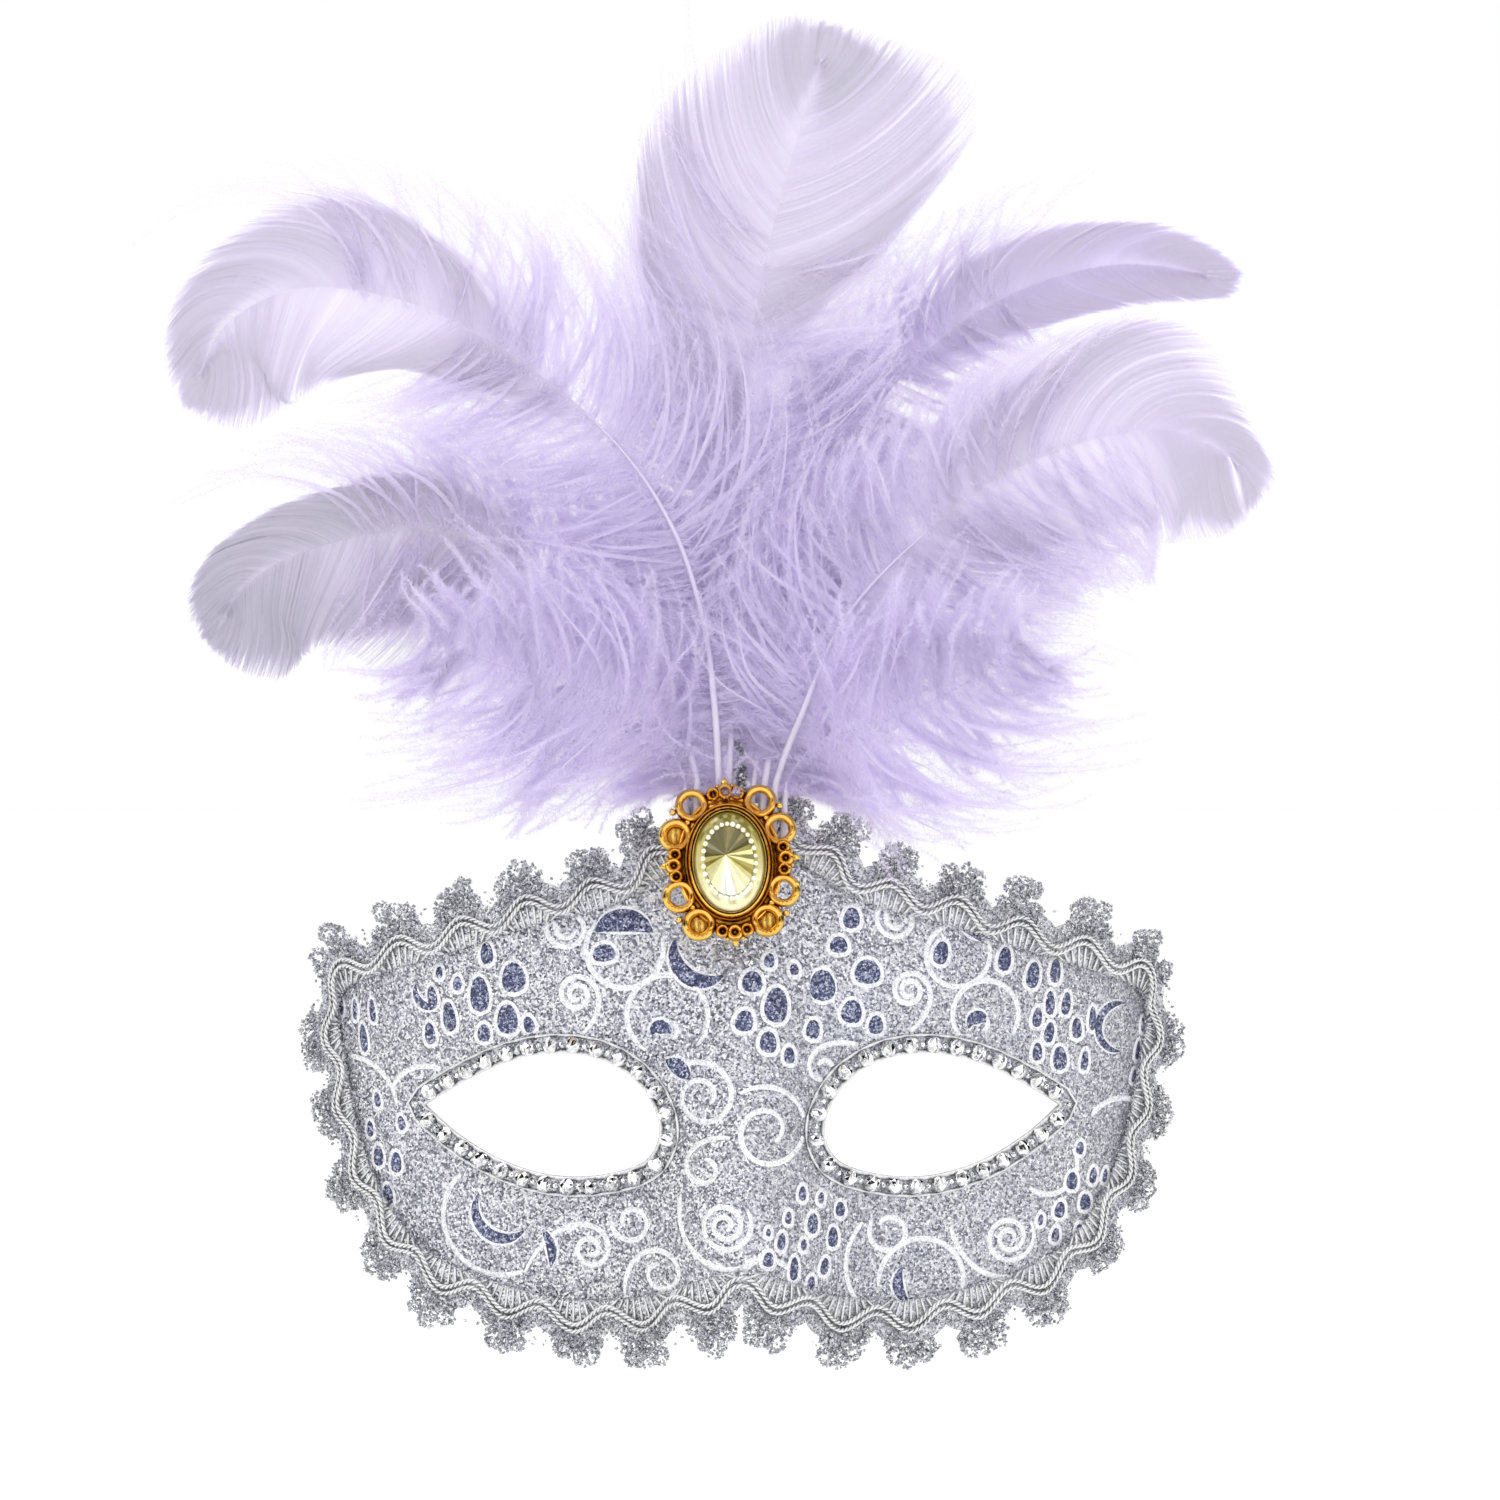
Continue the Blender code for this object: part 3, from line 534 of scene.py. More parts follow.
def build_shell(points, triangles):
    heap = Heap()
    thin_body(heap, points, triangles, -SHELL_THICKNESS, 0.0)
    shell = heap.build("shell", shell_plastic())
    for side in (-1, 1):
        frame_here = temple_frame(side)
        width, depth, height = (s * MM for s in LAND_SIZE)
        centre = Matrix.Translation((0, (LAND_STANDS_PROUD - LAND_SIZE[1] / 2) * MM, 0))

        def land(bm):
            box = Matrix.Diagonal((width, depth, height, 1))
            made = bmesh.ops.create_cube(bm, size=1.0, matrix=frame_here @ centre @ box)
            edges = list({e for v in made["verts"] for e in v.link_edges})
            bmesh.ops.bevel(bm, geom=edges, offset=0.35 * MM, segments=2, affect="EDGES")

        def hole(bm):
            drop = Matrix.Translation((0, 0, -STRAP_HOLE_DROP * MM))
            drop = drop @ Matrix.Rotation(math.radians(90), 4, "X")
            bmesh.ops.create_cone(bm, cap_ends=True, segments=32, depth=8 * MM, matrix=frame_here @ drop,
                                  radius1=STRAP_HOLE_RADIUS * MM, radius2=STRAP_HOLE_RADIUS * MM)

        cut_or_join(shell, "UNION", land)
        cut_or_join(shell, "DIFFERENCE", hole)
    shell.data.set_sharp_from_angle(angle=math.radians(35))
    finish_piece(shell, "white_plastic", "mask_shell")


def build_cloth(points, triangles):
    heap = Heap()
    thin_body(heap, points, triangles, GAP, GAP + FABRIC_THICKNESS)
    look = glitter("glitter_cloth", (0.12, 0.125, 0.16), (0.52, 0.53, 0.585), (1.0, 1.0, 1.0),
                   share=(0.2, 0.52, 0.82))
    cloth = heap.build("glitter_skin", look, sharp=40)
    finish_piece(cloth, "glitter_cloth", "glitter_fabric")


# ---------------------------------------------------------------- print on the cloth

CLOTH_LIFT = GAP + FABRIC_THICKNESS
# Scrolls: centre, outer and inner radius, the outer end's angle and how far it winds (in turns, + is
# anticlockwise), and how far the outer end flares.
SCROLLS = [
    (-31.1, 32.8, 3.9, 1.5, 0.45, 1.5, 0), (-20.9, 29.1, 7.0, 6.8, 0.04, -0.66, 0),
    (-29.4, 21.0, 3.9, 0.8, -0.25, 2.1, 4), (-13.2, 17.4, 7.2, 7.2, -0.12, 0.78, 0),
    (-7.0, 3.6, 6.6, 1.8, 0.44, -1.55, 0), (-6.6, -8.8, 3.7, 1.6, 0.14, 1.1, 3.4),
    (-3.0, -18.4, 4.8, 0.8, 0.1, -2.3, 0), (-2.1, -18.2, 7.8, 7.6, 0.42, 0.5, 2),
    (-26.9, -24.1, 4.3, 0.9, 0.56, -1.9, 8.5), (-43.4, -19.1, 10.3, 10.3, 0.37, 0.45, 0),
    (-19.5, -18.9, 3.8, 1.6, 0.47, 1.1, 0), (-14.4, -27.6, 4.8, 1.6, 0.6, -1.35, 3),
    (-56.6, 0.3, 7.4, 7.0, 0.43, -0.34, 0), (-72.0, -1.0, 9.6, 9.6, 0.24, -0.22, 0),
    (4.4, -2.3, 8.1, 2.2, 0.35, -1.5, 0), (27.5, 34.4, 3.9, 1.4, 0.3, 1.6, 0),
    (38.3, 28.0, 6.1, 5.4, 0.07, -0.78, 0), (29.7, 21.7, 3.7, 0.9, -0.3, 2.2, 6),
    (43.5, 17.2, 6.0, 6.0, -0.1, 0.75, 0), (14.4, 8.3, 3.2, 1.0, 0.03, 1.4, 7),
    (26.1, -21.0, 3.7, 2.4, 0.4, 1.0, 0), (29.3, -26.6, 11.0, 11.0, 0.6, -0.22, 0),
    (32.1, -30.0, 8.0, 7.2, 0.51, -0.62, 0), (47.8, -22.9, 4.8, 0.8, 0.1, -2.2, 0),
    (48.0, -21.8, 8.0, 8.0, 0.48, 0.42, 3), (55.2, -10.2, 5.3, 5.3, 0.63, 0.45, 0),
    (69.0, -6.0, 7.2, 7.0, 0.4, -0.24, 0), (3.7, -30.5, 6.5, 6.2, 0.34, -0.26, 0),
    (-13.0, 14.6, 2.2, 1.4, 0.55, -0.7, 0), (42.4, 15.4, 2.0, 1.3, 0.5, -0.7, 0),
]
# Drops: centre, half width, half height.
DROPS = [
    (-45.7, 28.0, 1.3, 2.0), (-54.5, 24.4, 0.8, 1.1), (-51.1, 22.5, 0.95, 1.3), (-55.8, 20.0, 1.1, 2.0),
    (-52.6, 16.5, 1.4, 2.7), (-56.2, 13.4, 1.2, 2.0), (-47.0, 20.7, 2.0, 3.2), (-40.8, 23.8, 2.4, 2.7),
    (-41.9, 16.4, 2.1, 2.7), (-38.0, 15.5, 1.05, 1.5), (-46.2, 13.8, 1.3, 1.6), (-73.4, 17.8, 0.7, 1.9),
    (-70.6, 17.1, 0.7, 1.9), (-67.2, 17.1, 0.8, 2.1), (-68.9, 12.0, 1.05, 2.6), (-66.0, -9.2, 1.3, 1.9),
    (-62.6, -10.2, 1.35, 1.9), (-64.2, -16.2, 1.35, 1.9), (-67.4, -13.6, 0.6, 0.8),
    (-67.6, -4.4, 0.9, 1.5), (-66.2, 1.0, 0.8, 1.4), (-61.6, -3.0, 0.9, 1.3), (4.8, 27.3, 0.95, 1.3),
    (1.8, 23.6, 1.8, 1.9), (9.2, 25.7, 0.8, 1.1), (17.1, 29.9, 1.6, 1.5), (19.4, 34.6, 1.5, 1.9),
    (22.2, 25.1, 2.4, 2.2), (14.2, 22.8, 2.4, 2.8), (6.0, 19.5, 2.2, 3.1), (0.4, 16.8, 1.6, 1.9),
    (4.6, 13.1, 1.6, 1.9), (8.3, 10.7, 1.1, 1.5), (12.5, 15.1, 1.35, 1.7), (19.4, 18.1, 1.9, 2.1),
    (23.7, 15.7, 1.35, 1.7), (47.0, 27.0, 1.35, 2.2), (52.2, 24.0, 1.4, 2.4), (56.4, 24.6, 1.2, 2.2),
    (55.4, 18.9, 1.05, 2.2), (58.4, 18.7, 1.05, 2.1), (53.0, 16.4, 1.05, 1.8), (55.2, 13.6, 1.1, 1.9),
    (60.4, 14.2, 1.2, 1.9), (63.4, 15.8, 0.9, 2.2), (53.0, 10.2, 1.05, 1.7), (57.2, 8.9, 1.6, 2.2),
    (61.9, 8.3, 0.9, 1.9), (72.2, 9.6, 0.6, 1.8), (73.2, 14.2, 0.5, 1.4), (71.4, 5.0, 0.5, 1.2),
    (61.0, -7.5, 0.9, 1.2), (59.5, -13.3, 1.35, 1.6), (63.5, -12.6, 0.9, 1.5), (57.2, -18.4, 1.2, 1.5),
    (62.0, -17.3, 1.35, 1.5), (56.4, -22.9, 0.9, 1.3), (65.8, -12.8, 0.6, 1.3), (60.9, -22.5, 0.9, 1.3),
    (53.6, -20.0, 0.6, 1.0), (10.6, -13.3, 0.9, 1.3), (13.9, -14.3, 0.7, 1.0), (17.3, -16.5, 1.05, 1.3),
    (8.1, -17.3, 0.75, 1.1), (12.4, -18.6, 1.3, 1.8), (16.0, -21.3, 1.2, 1.8), (6.9, -21.3, 0.9, 1.5),
    (10.8, -22.2, 0.75, 1.0), (4.6, -24.3, 1.1, 1.3), (9.1, -26.2, 1.05, 2.1), (14.5, -26.3, 1.0, 1.5),
    (12.1, -29.1, 1.0, 1.3), (4.6, -19.6, 0.45, 0.7), (-24.5, 28.4, 2.1, 1.6), (35.4, 28.3, 1.4, 2.1),
]
DROP_LEAN = 0.12
WHITE_MARGIN = (0.74, 0.55)      # how far the white shows round a drop and a crescent
LINE_HALF_WIDTH = 0.51
PRINT_HEIGHTS = {"line": 0.13, "under": 0.10, "over": 0.16}
# Crescents: centre, radius, start and sweep in turns, half width.
CRESCENTS = [
    (-6.6, 29.1, 5.5, 0.45, 0.40, 1.5), (-42.6, -17.6, 5.2, 0.42, 0.45, 1.15),
    (-14.3, 13.8, 1.7, 0.05, 0.42, 1.3), (-21.0, 27.0, 7.2, 0.13, 0.24, 2.1),
    (-16.0, 1.6, 8.4, 0.10, 0.10, 1.5), (-40.2, -25.4, 6.4, -0.05, 0.17, 1.0),
    (-55.9, 21.2, 3.1, 0.45, 0.35, 0.8), (42.2, 15.0, 1.7, 0.08, 0.42, 1.25),
    (68.9, 14.0, 4.4, 0.22, 0.52, 0.95), (31.8, -30.0, 4.2, 0.40, 0.26, 1.1),
    (37.4, 26.4, 6.6, 0.10, 0.12, 0.8),
]


def in_cloth(flat, margin=1.2):
    """Which points lie on the cloth with room to spare."""
    keep = inside(flat, mask_outline(200) * 0.985)
    for side in (-1, 1):
        keep &= ~inside(flat, eye_outline(side, 80, grow=margin + 2.6))
    return keep


def print_line(heap, flat, half_width, height, lift=0.0, sides=8):
    """A raised, flattened line on the cloth. Stations that leave the cloth are dropped."""
    keep = in_cloth(flat)
    half_width = np.broadcast_to(half_width, len(flat))
    edges = np.flatnonzero(np.diff(np.concatenate([[0], keep.astype(int), [0]])))
    for start, end in zip(edges[::2], edges[1::2]):
        if end - start < 4:
            continue
        part, width = flat[start:end], half_width[start:end]
        normals = face_normal(part[:, 0], part[:, 1])
        heap.tube(on_face(part, CLOTH_LIFT + lift), width, up=normals, sides=sides,
                  squash=height / max(float(width.max()), 0.1), phase=0.2)


def print_drop(blue, white, x, z, half_width, half_height, lean):
    share = np.linspace(-1, 1, 15)
    bulge = np.sqrt(np.maximum(1 - share ** 2, 0.0)) ** 0.85 * (1 - 0.18 * share)
    axis = np.array([math.sin(lean), math.cos(lean)])
    for heap, grow, height, lift in ((white, WHITE_MARGIN[0], "under", 0.0), (blue, 0.0, "over", 0.06)):
        flat = np.array([x, z]) + share[:, None] * axis * (half_height + grow)
        print_line(heap, flat, bulge * (half_width + grow) + 0.03, PRINT_HEIGHTS[height], lift, sides=12)


def circling(x, z, radius, angle):
    return np.array([x, z]) + np.stack([np.cos(angle), np.sin(angle)], axis=1) * radius[:, None]


def build_print():
    white, blue = Heap(), Heap()
    for x, z, outer, inner, start, turns, tail in SCROLLS:
        t = np.linspace(0, 1, int(abs(turns) * outer * 8) + 14)
        radius = inner + (outer - inner) * (1 - t) ** 1.1 + tail * np.exp(-t * abs(turns) / 0.11)
        taper = LINE_HALF_WIDTH * np.minimum(1, (1 - t) * 6 + 0.5) * np.minimum(1, t * 8 + 0.55)
        print_line(white, circling(x, z, radius, (start + t * turns) * TURN), taper, PRINT_HEIGHTS["line"])
    for x, z, radius, start, sweep, width in CRESCENTS:
        t = np.linspace(0, 1, 22)
        flat = circling(x, z, np.full(22, radius), (start + t * sweep) * TURN)
        swell = np.sin(math.pi * np.clip(t, 0.02, 0.98)) ** 0.6
        print_line(white, flat, (width + WHITE_MARGIN[1]) * swell, PRINT_HEIGHTS["under"], sides=12)
        print_line(blue, flat, width * swell, PRINT_HEIGHTS["over"], 0.05, sides=12)
    for x, z, half_width, half_height in DROPS:
        lean = DROP_LEAN * math.copysign(1, x) + random.normal() * 0.1
        print_drop(blue, white, x, z, half_width, half_height, lean)
    blue_look = glitter("print_blue", (0.03, 0.035, 0.08), (0.13, 0.145, 0.27), (0.80, 0.83, 0.95),
                        share=(0.25, 0.6, 0.92), metallic=0.45)
    white_look = glitter("print_white", (0.45, 0.46, 0.5), (0.84, 0.85, 0.88), (1.0, 1.0, 1.0),
                         flake=0.3, metallic=0.15, tilt=0.4, share=(0.08, 0.35, 0.6))
    finish_piece(white.build("print_white", white_look, sharp=50), "glitter_cloth")
    finish_piece(blue.build("print_blue", blue_look, sharp=50), "glitter_cloth")


# ---------------------------------------------------------------- braid

class Edge:
    """The mask's edge, with places beside it: station in scallops, reach outward, lift off the surface."""

    def __init__(self, count=1536):
        self.flat = mask_outline(count)
        places = on_face(self.flat)
        along = np.roll(places, -1, axis=0) - np.roll(places, 1, axis=0)
        self.out = unit(np.cross(self.normals(places), along))[:, [0, 2]]
        self.count = count

    def place(self, station, reach, lift):
        at = np.asarray(station, float) / SCALLOPS * self.count
        low = np.floor(at).astype(int)
        part = (at - low)[..., None]
        here, there = low % self.count, (low + 1) % self.count
        flat, out = (rows[here] * (1 - part) + rows[there] * part for rows in (self.flat, self.out))
        flat = flat + out * np.asarray(reach)[..., None]
        shape = flat.shape[:-1]
        found = on_face(flat.reshape(-1, 2), np.broadcast_to(lift, shape).ravel())
        return found.reshape(*shape, 3)

    def normals(self, places):
        return face_normal(places[..., 0], places[..., 2])


EDGE = Edge()
OCTAHEDRON = np.array([(1, 0, 0), (-1, 0, 0), (0, 1, 0), (0, -1, 0), (0, 0, 1), (0, 0, -1)], float)
OCTAHEDRON_FACES = np.array([
    (0, 2, 4), (2, 1, 4), (1, 3, 4), (3, 0, 4), (2, 0, 5), (1, 2, 5), (3, 1, 5), (0, 3, 5),
])


def random_turns(count):
    """count random rotation matrices."""
    q = unit(random.normal(size=(count, 4)))
    w, x, y, z = q.T
    rows = [1 - 2 * (y * y + z * z), 2 * (x * y - z * w), 2 * (x * z + y * w),
            2 * (x * y + z * w), 1 - 2 * (x * x + z * z), 2 * (y * z - x * w),
            2 * (x * z - y * w), 2 * (y * z + x * w), 1 - 2 * (x * x + y * y)]
    return np.stack(rows, axis=1).reshape(-1, 3, 3)


def grains(heap, places, low, high):
    """Small faceted nubs of metallic yarn at places."""
    places = places.reshape(-1, 3)
    count = len(places)
    sizes = random.uniform(low, high, (count, 1, 1)) * random.uniform(0.6, 1.3, (count, 1, 3))
    shapes = (OCTAHEDRON[None] * sizes) @ random_turns(count).transpose(0, 2, 1)
    faces = OCTAHEDRON_FACES[None] + np.arange(count)[:, None, None] * 6
    heap.add((shapes + places[:, None]).reshape(-1, 3), faces.reshape(-1, 3),
             tone=np.repeat(random.random(count), 6))


# Lobes of a fan: place along the edge, in half scallops, reach out of it, radius.
LOBES = [
    (0.0, 7.0, 2.1), (-0.27, 6.4, 1.95), (0.27, 6.4, 1.95), (-0.36, 3.9, 1.7), (0.36, 3.9, 1.7),
    (0.0, 4.6, 1.8),
]
LOBE_NUBS = 92
FOOT_NUBS = 70
NUBS_KEPT = 0.86
LADDER_THREADS = 9               # to each scallop
LADDER_FOOT = -3.2
LADDER_LIFT = CLOTH_LIFT + 0.65


def fan_places(number):
    """Nub places in one fan: a foot and round lobes that run together."""
    found = []
    middle = number + 0.5 + random.normal() * 0.04
    stretch = random.uniform(0.9, 1.12)
    for across, reach, radius in LOBES:
        across = across + random.normal() * 0.035
        reach = (reach + random.normal() * 0.45) * stretch
        radius = radius * random.uniform(0.88, 1.12)
        centre = EDGE.place(middle + across * 0.62, reach, CORD_LIFT - 0.3)
        shape = (LOBE_NUBS, 3)
        offsets = unit(random.normal(size=shape)) * random.uniform(0.7, 1.0, (LOBE_NUBS, 1)) * radius
        found.append(centre + offsets * (1.0, 0.6, 1.0))
    share = random.random(FOOT_NUBS)
    across = random.normal(size=FOOT_NUBS) * (0.13 + 0.10 * share)
    lift = CORD_LIFT - 0.4 + random.normal(size=FOOT_NUBS) * 0.35
    found.append(EDGE.place(middle + across, 1.4 + share * 4.6, lift))
    return np.concatenate(found)


def build_tape(heap):
    """The net tape that carries the fans: it starts on the cloth and steps over the mask's edge."""
    count = SCALLOPS * 24
    stations = np.arange(count) * SCALLOPS / count
    swell = np.abs(np.sin(math.pi * stations)) ** 0.7
    reaches = [np.full(count, -3.3), np.full(count, -1.6), np.full(count, 0.4), 2.2 + swell * 2.4]
    lifts = (CLOTH_LIFT + 0.12, CLOTH_LIFT + 0.7, TAPE_LIFT + 0.1, TAPE_LIFT + 0.3)
    ring = [EDGE.place(stations, r, low) for r, low in zip(reaches, lifts)]
    ring += [EDGE.place(stations, r, low + 0.4) for r, low in zip(reaches[::-1], lifts[::-1])]
    heap.rings(np.stack(ring, axis=1), closed=True, tone=0.3)


def strewn(heap, per_scallop, reach, spread, lift, low, high):
    """Nubs of yarn strewn along a line round the mask."""
    station = random.random(SCALLOPS * per_scallop) * SCALLOPS
    grains(heap, EDGE.place(station, reach + random.normal(size=len(station)) * spread, lift), low, high)


def build_braid():
    """Net tape, ladder threads under the wave, and the fans of nubbly yarn outside it."""
    heap, ladder = Heap(), Heap()
    build_tape(heap)
    nubs = np.concatenate([fan_places(k) for k in range(SCALLOPS)])
    grains(heap, nubs[random.random(len(nubs)) < NUBS_KEPT], 0.27, 0.45)
    strewn(heap, 90, 1.5, 0.9, TAPE_LIFT + 0.7, 0.22, 0.36)
    strewn(heap, 34, -3.3, 0.25, CLOTH_LIFT + 0.55, 0.2, 0.32)
    share = np.linspace(0, 1, 5)
    for station in np.arange(SCALLOPS * LADDER_THREADS) / LADDER_THREADS + 0.5 / LADDER_THREADS:
        away = (station % 1.0) - 0.5
        top = wave_middle(station) - 0.6
        across = station - away * 0.28 * (1 - share)
        lift = LADDER_LIFT + (CORD_LIFT - LADDER_LIFT) * share
        points = EDGE.place(across, LADDER_FOOT + (top - LADDER_FOOT) * share, lift)
        ladder.tube(points, 0.20 + random.random() * 0.07, up=EDGE.normals(points), sides=5, tone=0.95)
    look = glitter("bullion_yarn", (0.16, 0.16, 0.19), (0.62, 0.63, 0.67), (1.0, 1.0, 1.0), flake=0.3,
                   share=(0.2, 0.5, 0.8), metallic=0.5)
    finish_piece(heap.build("braid_fans", look, sharp=25), "silver_yarn", "edge_braid")
    finish_piece(ladder.build("ladder_threads", smooth_cord()), "silver_yarn")


def wave_middle(station):
    return -1.7 * np.cos(TURN * np.asarray(station))


def build_wave_cords():
    """Two twisted cords, side by side, that wave along the tape."""
    plies, strand, lay = 2, 0.235, 2.1
    count = SCALLOPS * 110
    stations = np.arange(count) * SCALLOPS / count
    look = smooth_cord()
    for where, reach in (("inner", -0.62), ("outer", 0.62)):
        line = EDGE.place(stations, wave_middle(stations) + reach, CORD_LIFT + 0.35)
        far = travelled(line)
        turns = round(far[-1] / lay)
        angle = far / (far[-1] + far[1]) * turns * TURN
        normals = EDGE.normals(line)
        across = unit(np.cross(round_trip(line), normals))
        heap = Heap()
        for ply in range(plies):
            a = (angle + ply * TURN / plies)[:, None]
            off_line = (across * np.cos(a) + normals * np.sin(a)) * strand * 0.82
            heap.tube(line + off_line, strand, up=normals, sides=6, closed=True, tone=0.6)
        finish_piece(heap.build(f"wave_cord_{where}", look), "silver_yarn", f"{where}_wave_cord")


# ---------------------------------------------------------------- beads

BEADS = 26
BEAD_STEP = 40                   # places on the string from one bead to the next
BEAD_LINE = 1.7
BEAD_LIFT = CLOTH_LIFT + GAP + 1.2
BEAD_SIZE = (1.5, 1.45)          # radius, half length
SPACER_SIZE = (0.5, 0.55)
BEAD_PROFILE = [(-0.92, 0.34), (-0.62, 0.78), (-0.16, 1.0), (0.16, 1.0), (0.62, 0.78), (0.92, 0.34)]
BEAD_SIDES = 8
GIMPS = ((BEAD_LINE - 1.35, 0.34), (BEAD_LINE + 1.6, 0.26))


def faceted_bead(heap, place, ahead, normal, radius, half_length):
    across = unit(np.cross(ahead, normal))
    rise = np.cross(across, ahead)
    roll = random.random() * TURN
    rows = []
    for k, (station, share) in enumerate(BEAD_PROFILE):
        a = np.arange(BEAD_SIDES) * TURN / BEAD_SIDES + roll + (k % 2) * math.pi / BEAD_SIDES
        spread = (across * np.cos(a)[:, None] + rise * np.sin(a)[:, None]) * share * radius
        rows.append(place + ahead * station * half_length + spread)
    heap.rings(rows)


def build_beads():
    """Faceted beads and small spacers on a string round each eye opening, between two gimps."""
    look, thread = mirror_bead(), smooth_cord()
    for name, side in (("eye_beads_left", -1), ("eye_beads_right", 1)):
        heap, gimp = Heap(), Heap()
        line = eye_outline(side, BEADS * BEAD_STEP, BEAD_LINE)
        path = on_face(line, BEAD_LIFT)
        normals = face_normal(line[:, 0], line[:, 1])
        along = round_trip(path, 8)
        for bead in range(BEADS):
            for at, size in ((bead * BEAD_STEP + BEAD_STEP // 2, BEAD_SIZE), (bead * BEAD_STEP, SPACER_SIZE)):
                faceted_bead(heap, path[at], along[at], normals[at], *size)
        for reach, radius in GIMPS:
            edge = eye_outline(side, 420, reach)
            wobble = 0.1 * np.sin(np.arange(len(edge)) * TURN / 5)
            gimp.tube(on_face(edge, CLOTH_LIFT + 0.25 + wobble), radius, closed=True,
                      up=face_normal(edge[:, 0], edge[:, 1]))
        finish_piece(heap.build(name + "_string", look, sharp=18), "silver_metal", name)
        finish_piece(gimp.build(name + "_gimp", thread), "silver_yarn")


# ---------------------------------------------------------------- brooch

BROOCH_X = -2.2
BROOCH_Z = 44.5
BROOCH_ROLL = math.radians(3.6)
BROOCH_STANDOFF = 6.0
GEM_HALF = (6.2, 8.6)
PLATE_THICKNESS = 0.9
LOOP_ORBIT = (10.05, 13.1)
LOOP_ANGLES = (24.5, 53.5)


def fabric_front(z):
    return float(on_face(np.array([[0.0, z]]), CLOTH_LIFT)[0, 1])


BROOCH_LEAN = math.atan((fabric_front(BROOCH_Z + 10) - fabric_front(BROOCH_Z - 10)) / 20)


def to_brooch(points):
    """Points in the brooch's own axes (x across, y up, z out of its front) to the mask's."""
    place = Vector((BROOCH_X, fabric_front(BROOCH_Z) - BROOCH_STANDOFF, BROOCH_Z))
    lean = Matrix.Rotation(math.radians(90) - BROOCH_LEAN, 4, "X")
    axes = np.array(Matrix.Translation(place) @ lean @ Matrix.Rotation(BROOCH_ROLL, 4, "Z"))
    return np.asarray(points) @ axes[:3, :3].T + axes[:3, 3]


def brooch_back(z):
    return fabric_front(BROOCH_Z) - BROOCH_STANDOFF + math.tan(BROOCH_LEAN) * (z - BROOCH_Z)


class BroochHeap(Heap):
    def add(self, verts, *face_sets, tone=0.5):
        super().add(to_brooch(np.asarray(verts, float).reshape(-1, 3)), *face_sets, tone=tone)


def oval(half_x, half_y, z, count):
    a = np.arange(count) * TURN / count
    return np.stack([half_x * np.cos(a), half_y * np.sin(a), np.full(count, z)], axis=1)


def ball(heap, centre, radius, squash=1.0, tone=0.5):
    belts = np.linspace(-1.45, 1.45, 7)
    rings = [oval(math.cos(b), math.cos(b), math.sin(b) * squash, 12) * radius for b in belts]
    heap.rings(np.array(rings) + np.asarray(centre), tone=tone)


def cup(heap, x, y, outer, hole, floor=None, rise=0.0):
    """A small cast ring: a rounded crest that falls to a hole, or to a floor."""
    wall = outer - hole
    section = [(outer - 0.06, 0.1), (outer, 0.6), (outer - 0.16 * wall, 1.2), (outer - 0.45 * wall, 1.5),
               (outer - 0.75 * wall, 1.25), (hole, 0.7), (hole - 0.03, 0.12)]
    if floor is not None:
        section += [(hole * 0.5, floor), (hole * 0.1, floor)]
    heap.rings(np.array([oval(r, r, z, 36) for r, z in section]) + (x, y, rise), closed=floor is None)


# The frame's section, from its outer foot to its bed for the stone: growth from the stone's oval, height.
PLATE_SECTION = [
    (2.9, 0.05), (2.98, 0.5), (2.7, 0.9), (2.3, 0.75), (1.95, 0.5), (1.55, 0.6), (1.5, 1.2), (1.3, 1.6),
    (1.05, 1.5), (0.95, 1.3), (0.85, 1.6), (0.66, 2.25), (0.40, 2.45), (0.3, 2.1), (0.22, 2.0), (0.12, 2.3),
    (-0.08, 2.3), (-0.2, 1.7), (-0.2, 0.95),
]
# Small beads beside each loop: turn from it in degrees, how far out of its orbit, radius.
LOOP_BEADS = ((-14.5, 2.1, 0.6), (14.5, 2.0, 0.5), (-14.5, -1.1, 0.6))
LOOP_BEAD_ANGLES = (15, 65)
# Finials: place and outward direction.
FINIALS = ((9.9, 0.2, 1, 0), (-9.8, 0.0, -1, 0), (0.0, 12.6, 0, 1), (0.2, -12.4, 0, -1))


def loop(heap, right, top, angle, floor):
    """A loop of the border, with the small beads beside it."""
    a = math.radians(angle)
    cup(heap, right * LOOP_ORBIT[0] * math.cos(a), top * LOOP_ORBIT[1] * math.sin(a), 3.05, 1.6, floor)
    for turn, out, radius in LOOP_BEADS:
        if LOOP_BEAD_ANGLES[0] <= angle + turn <= LOOP_BEAD_ANGLES[1]:
            b = math.radians(angle + turn)
            x, y = right * (LOOP_ORBIT[0] + out) * math.cos(b), top * (LOOP_ORBIT[1] + out) * math.sin(b)
            ball(heap, (x, y, 0.75), radius, 0.8)


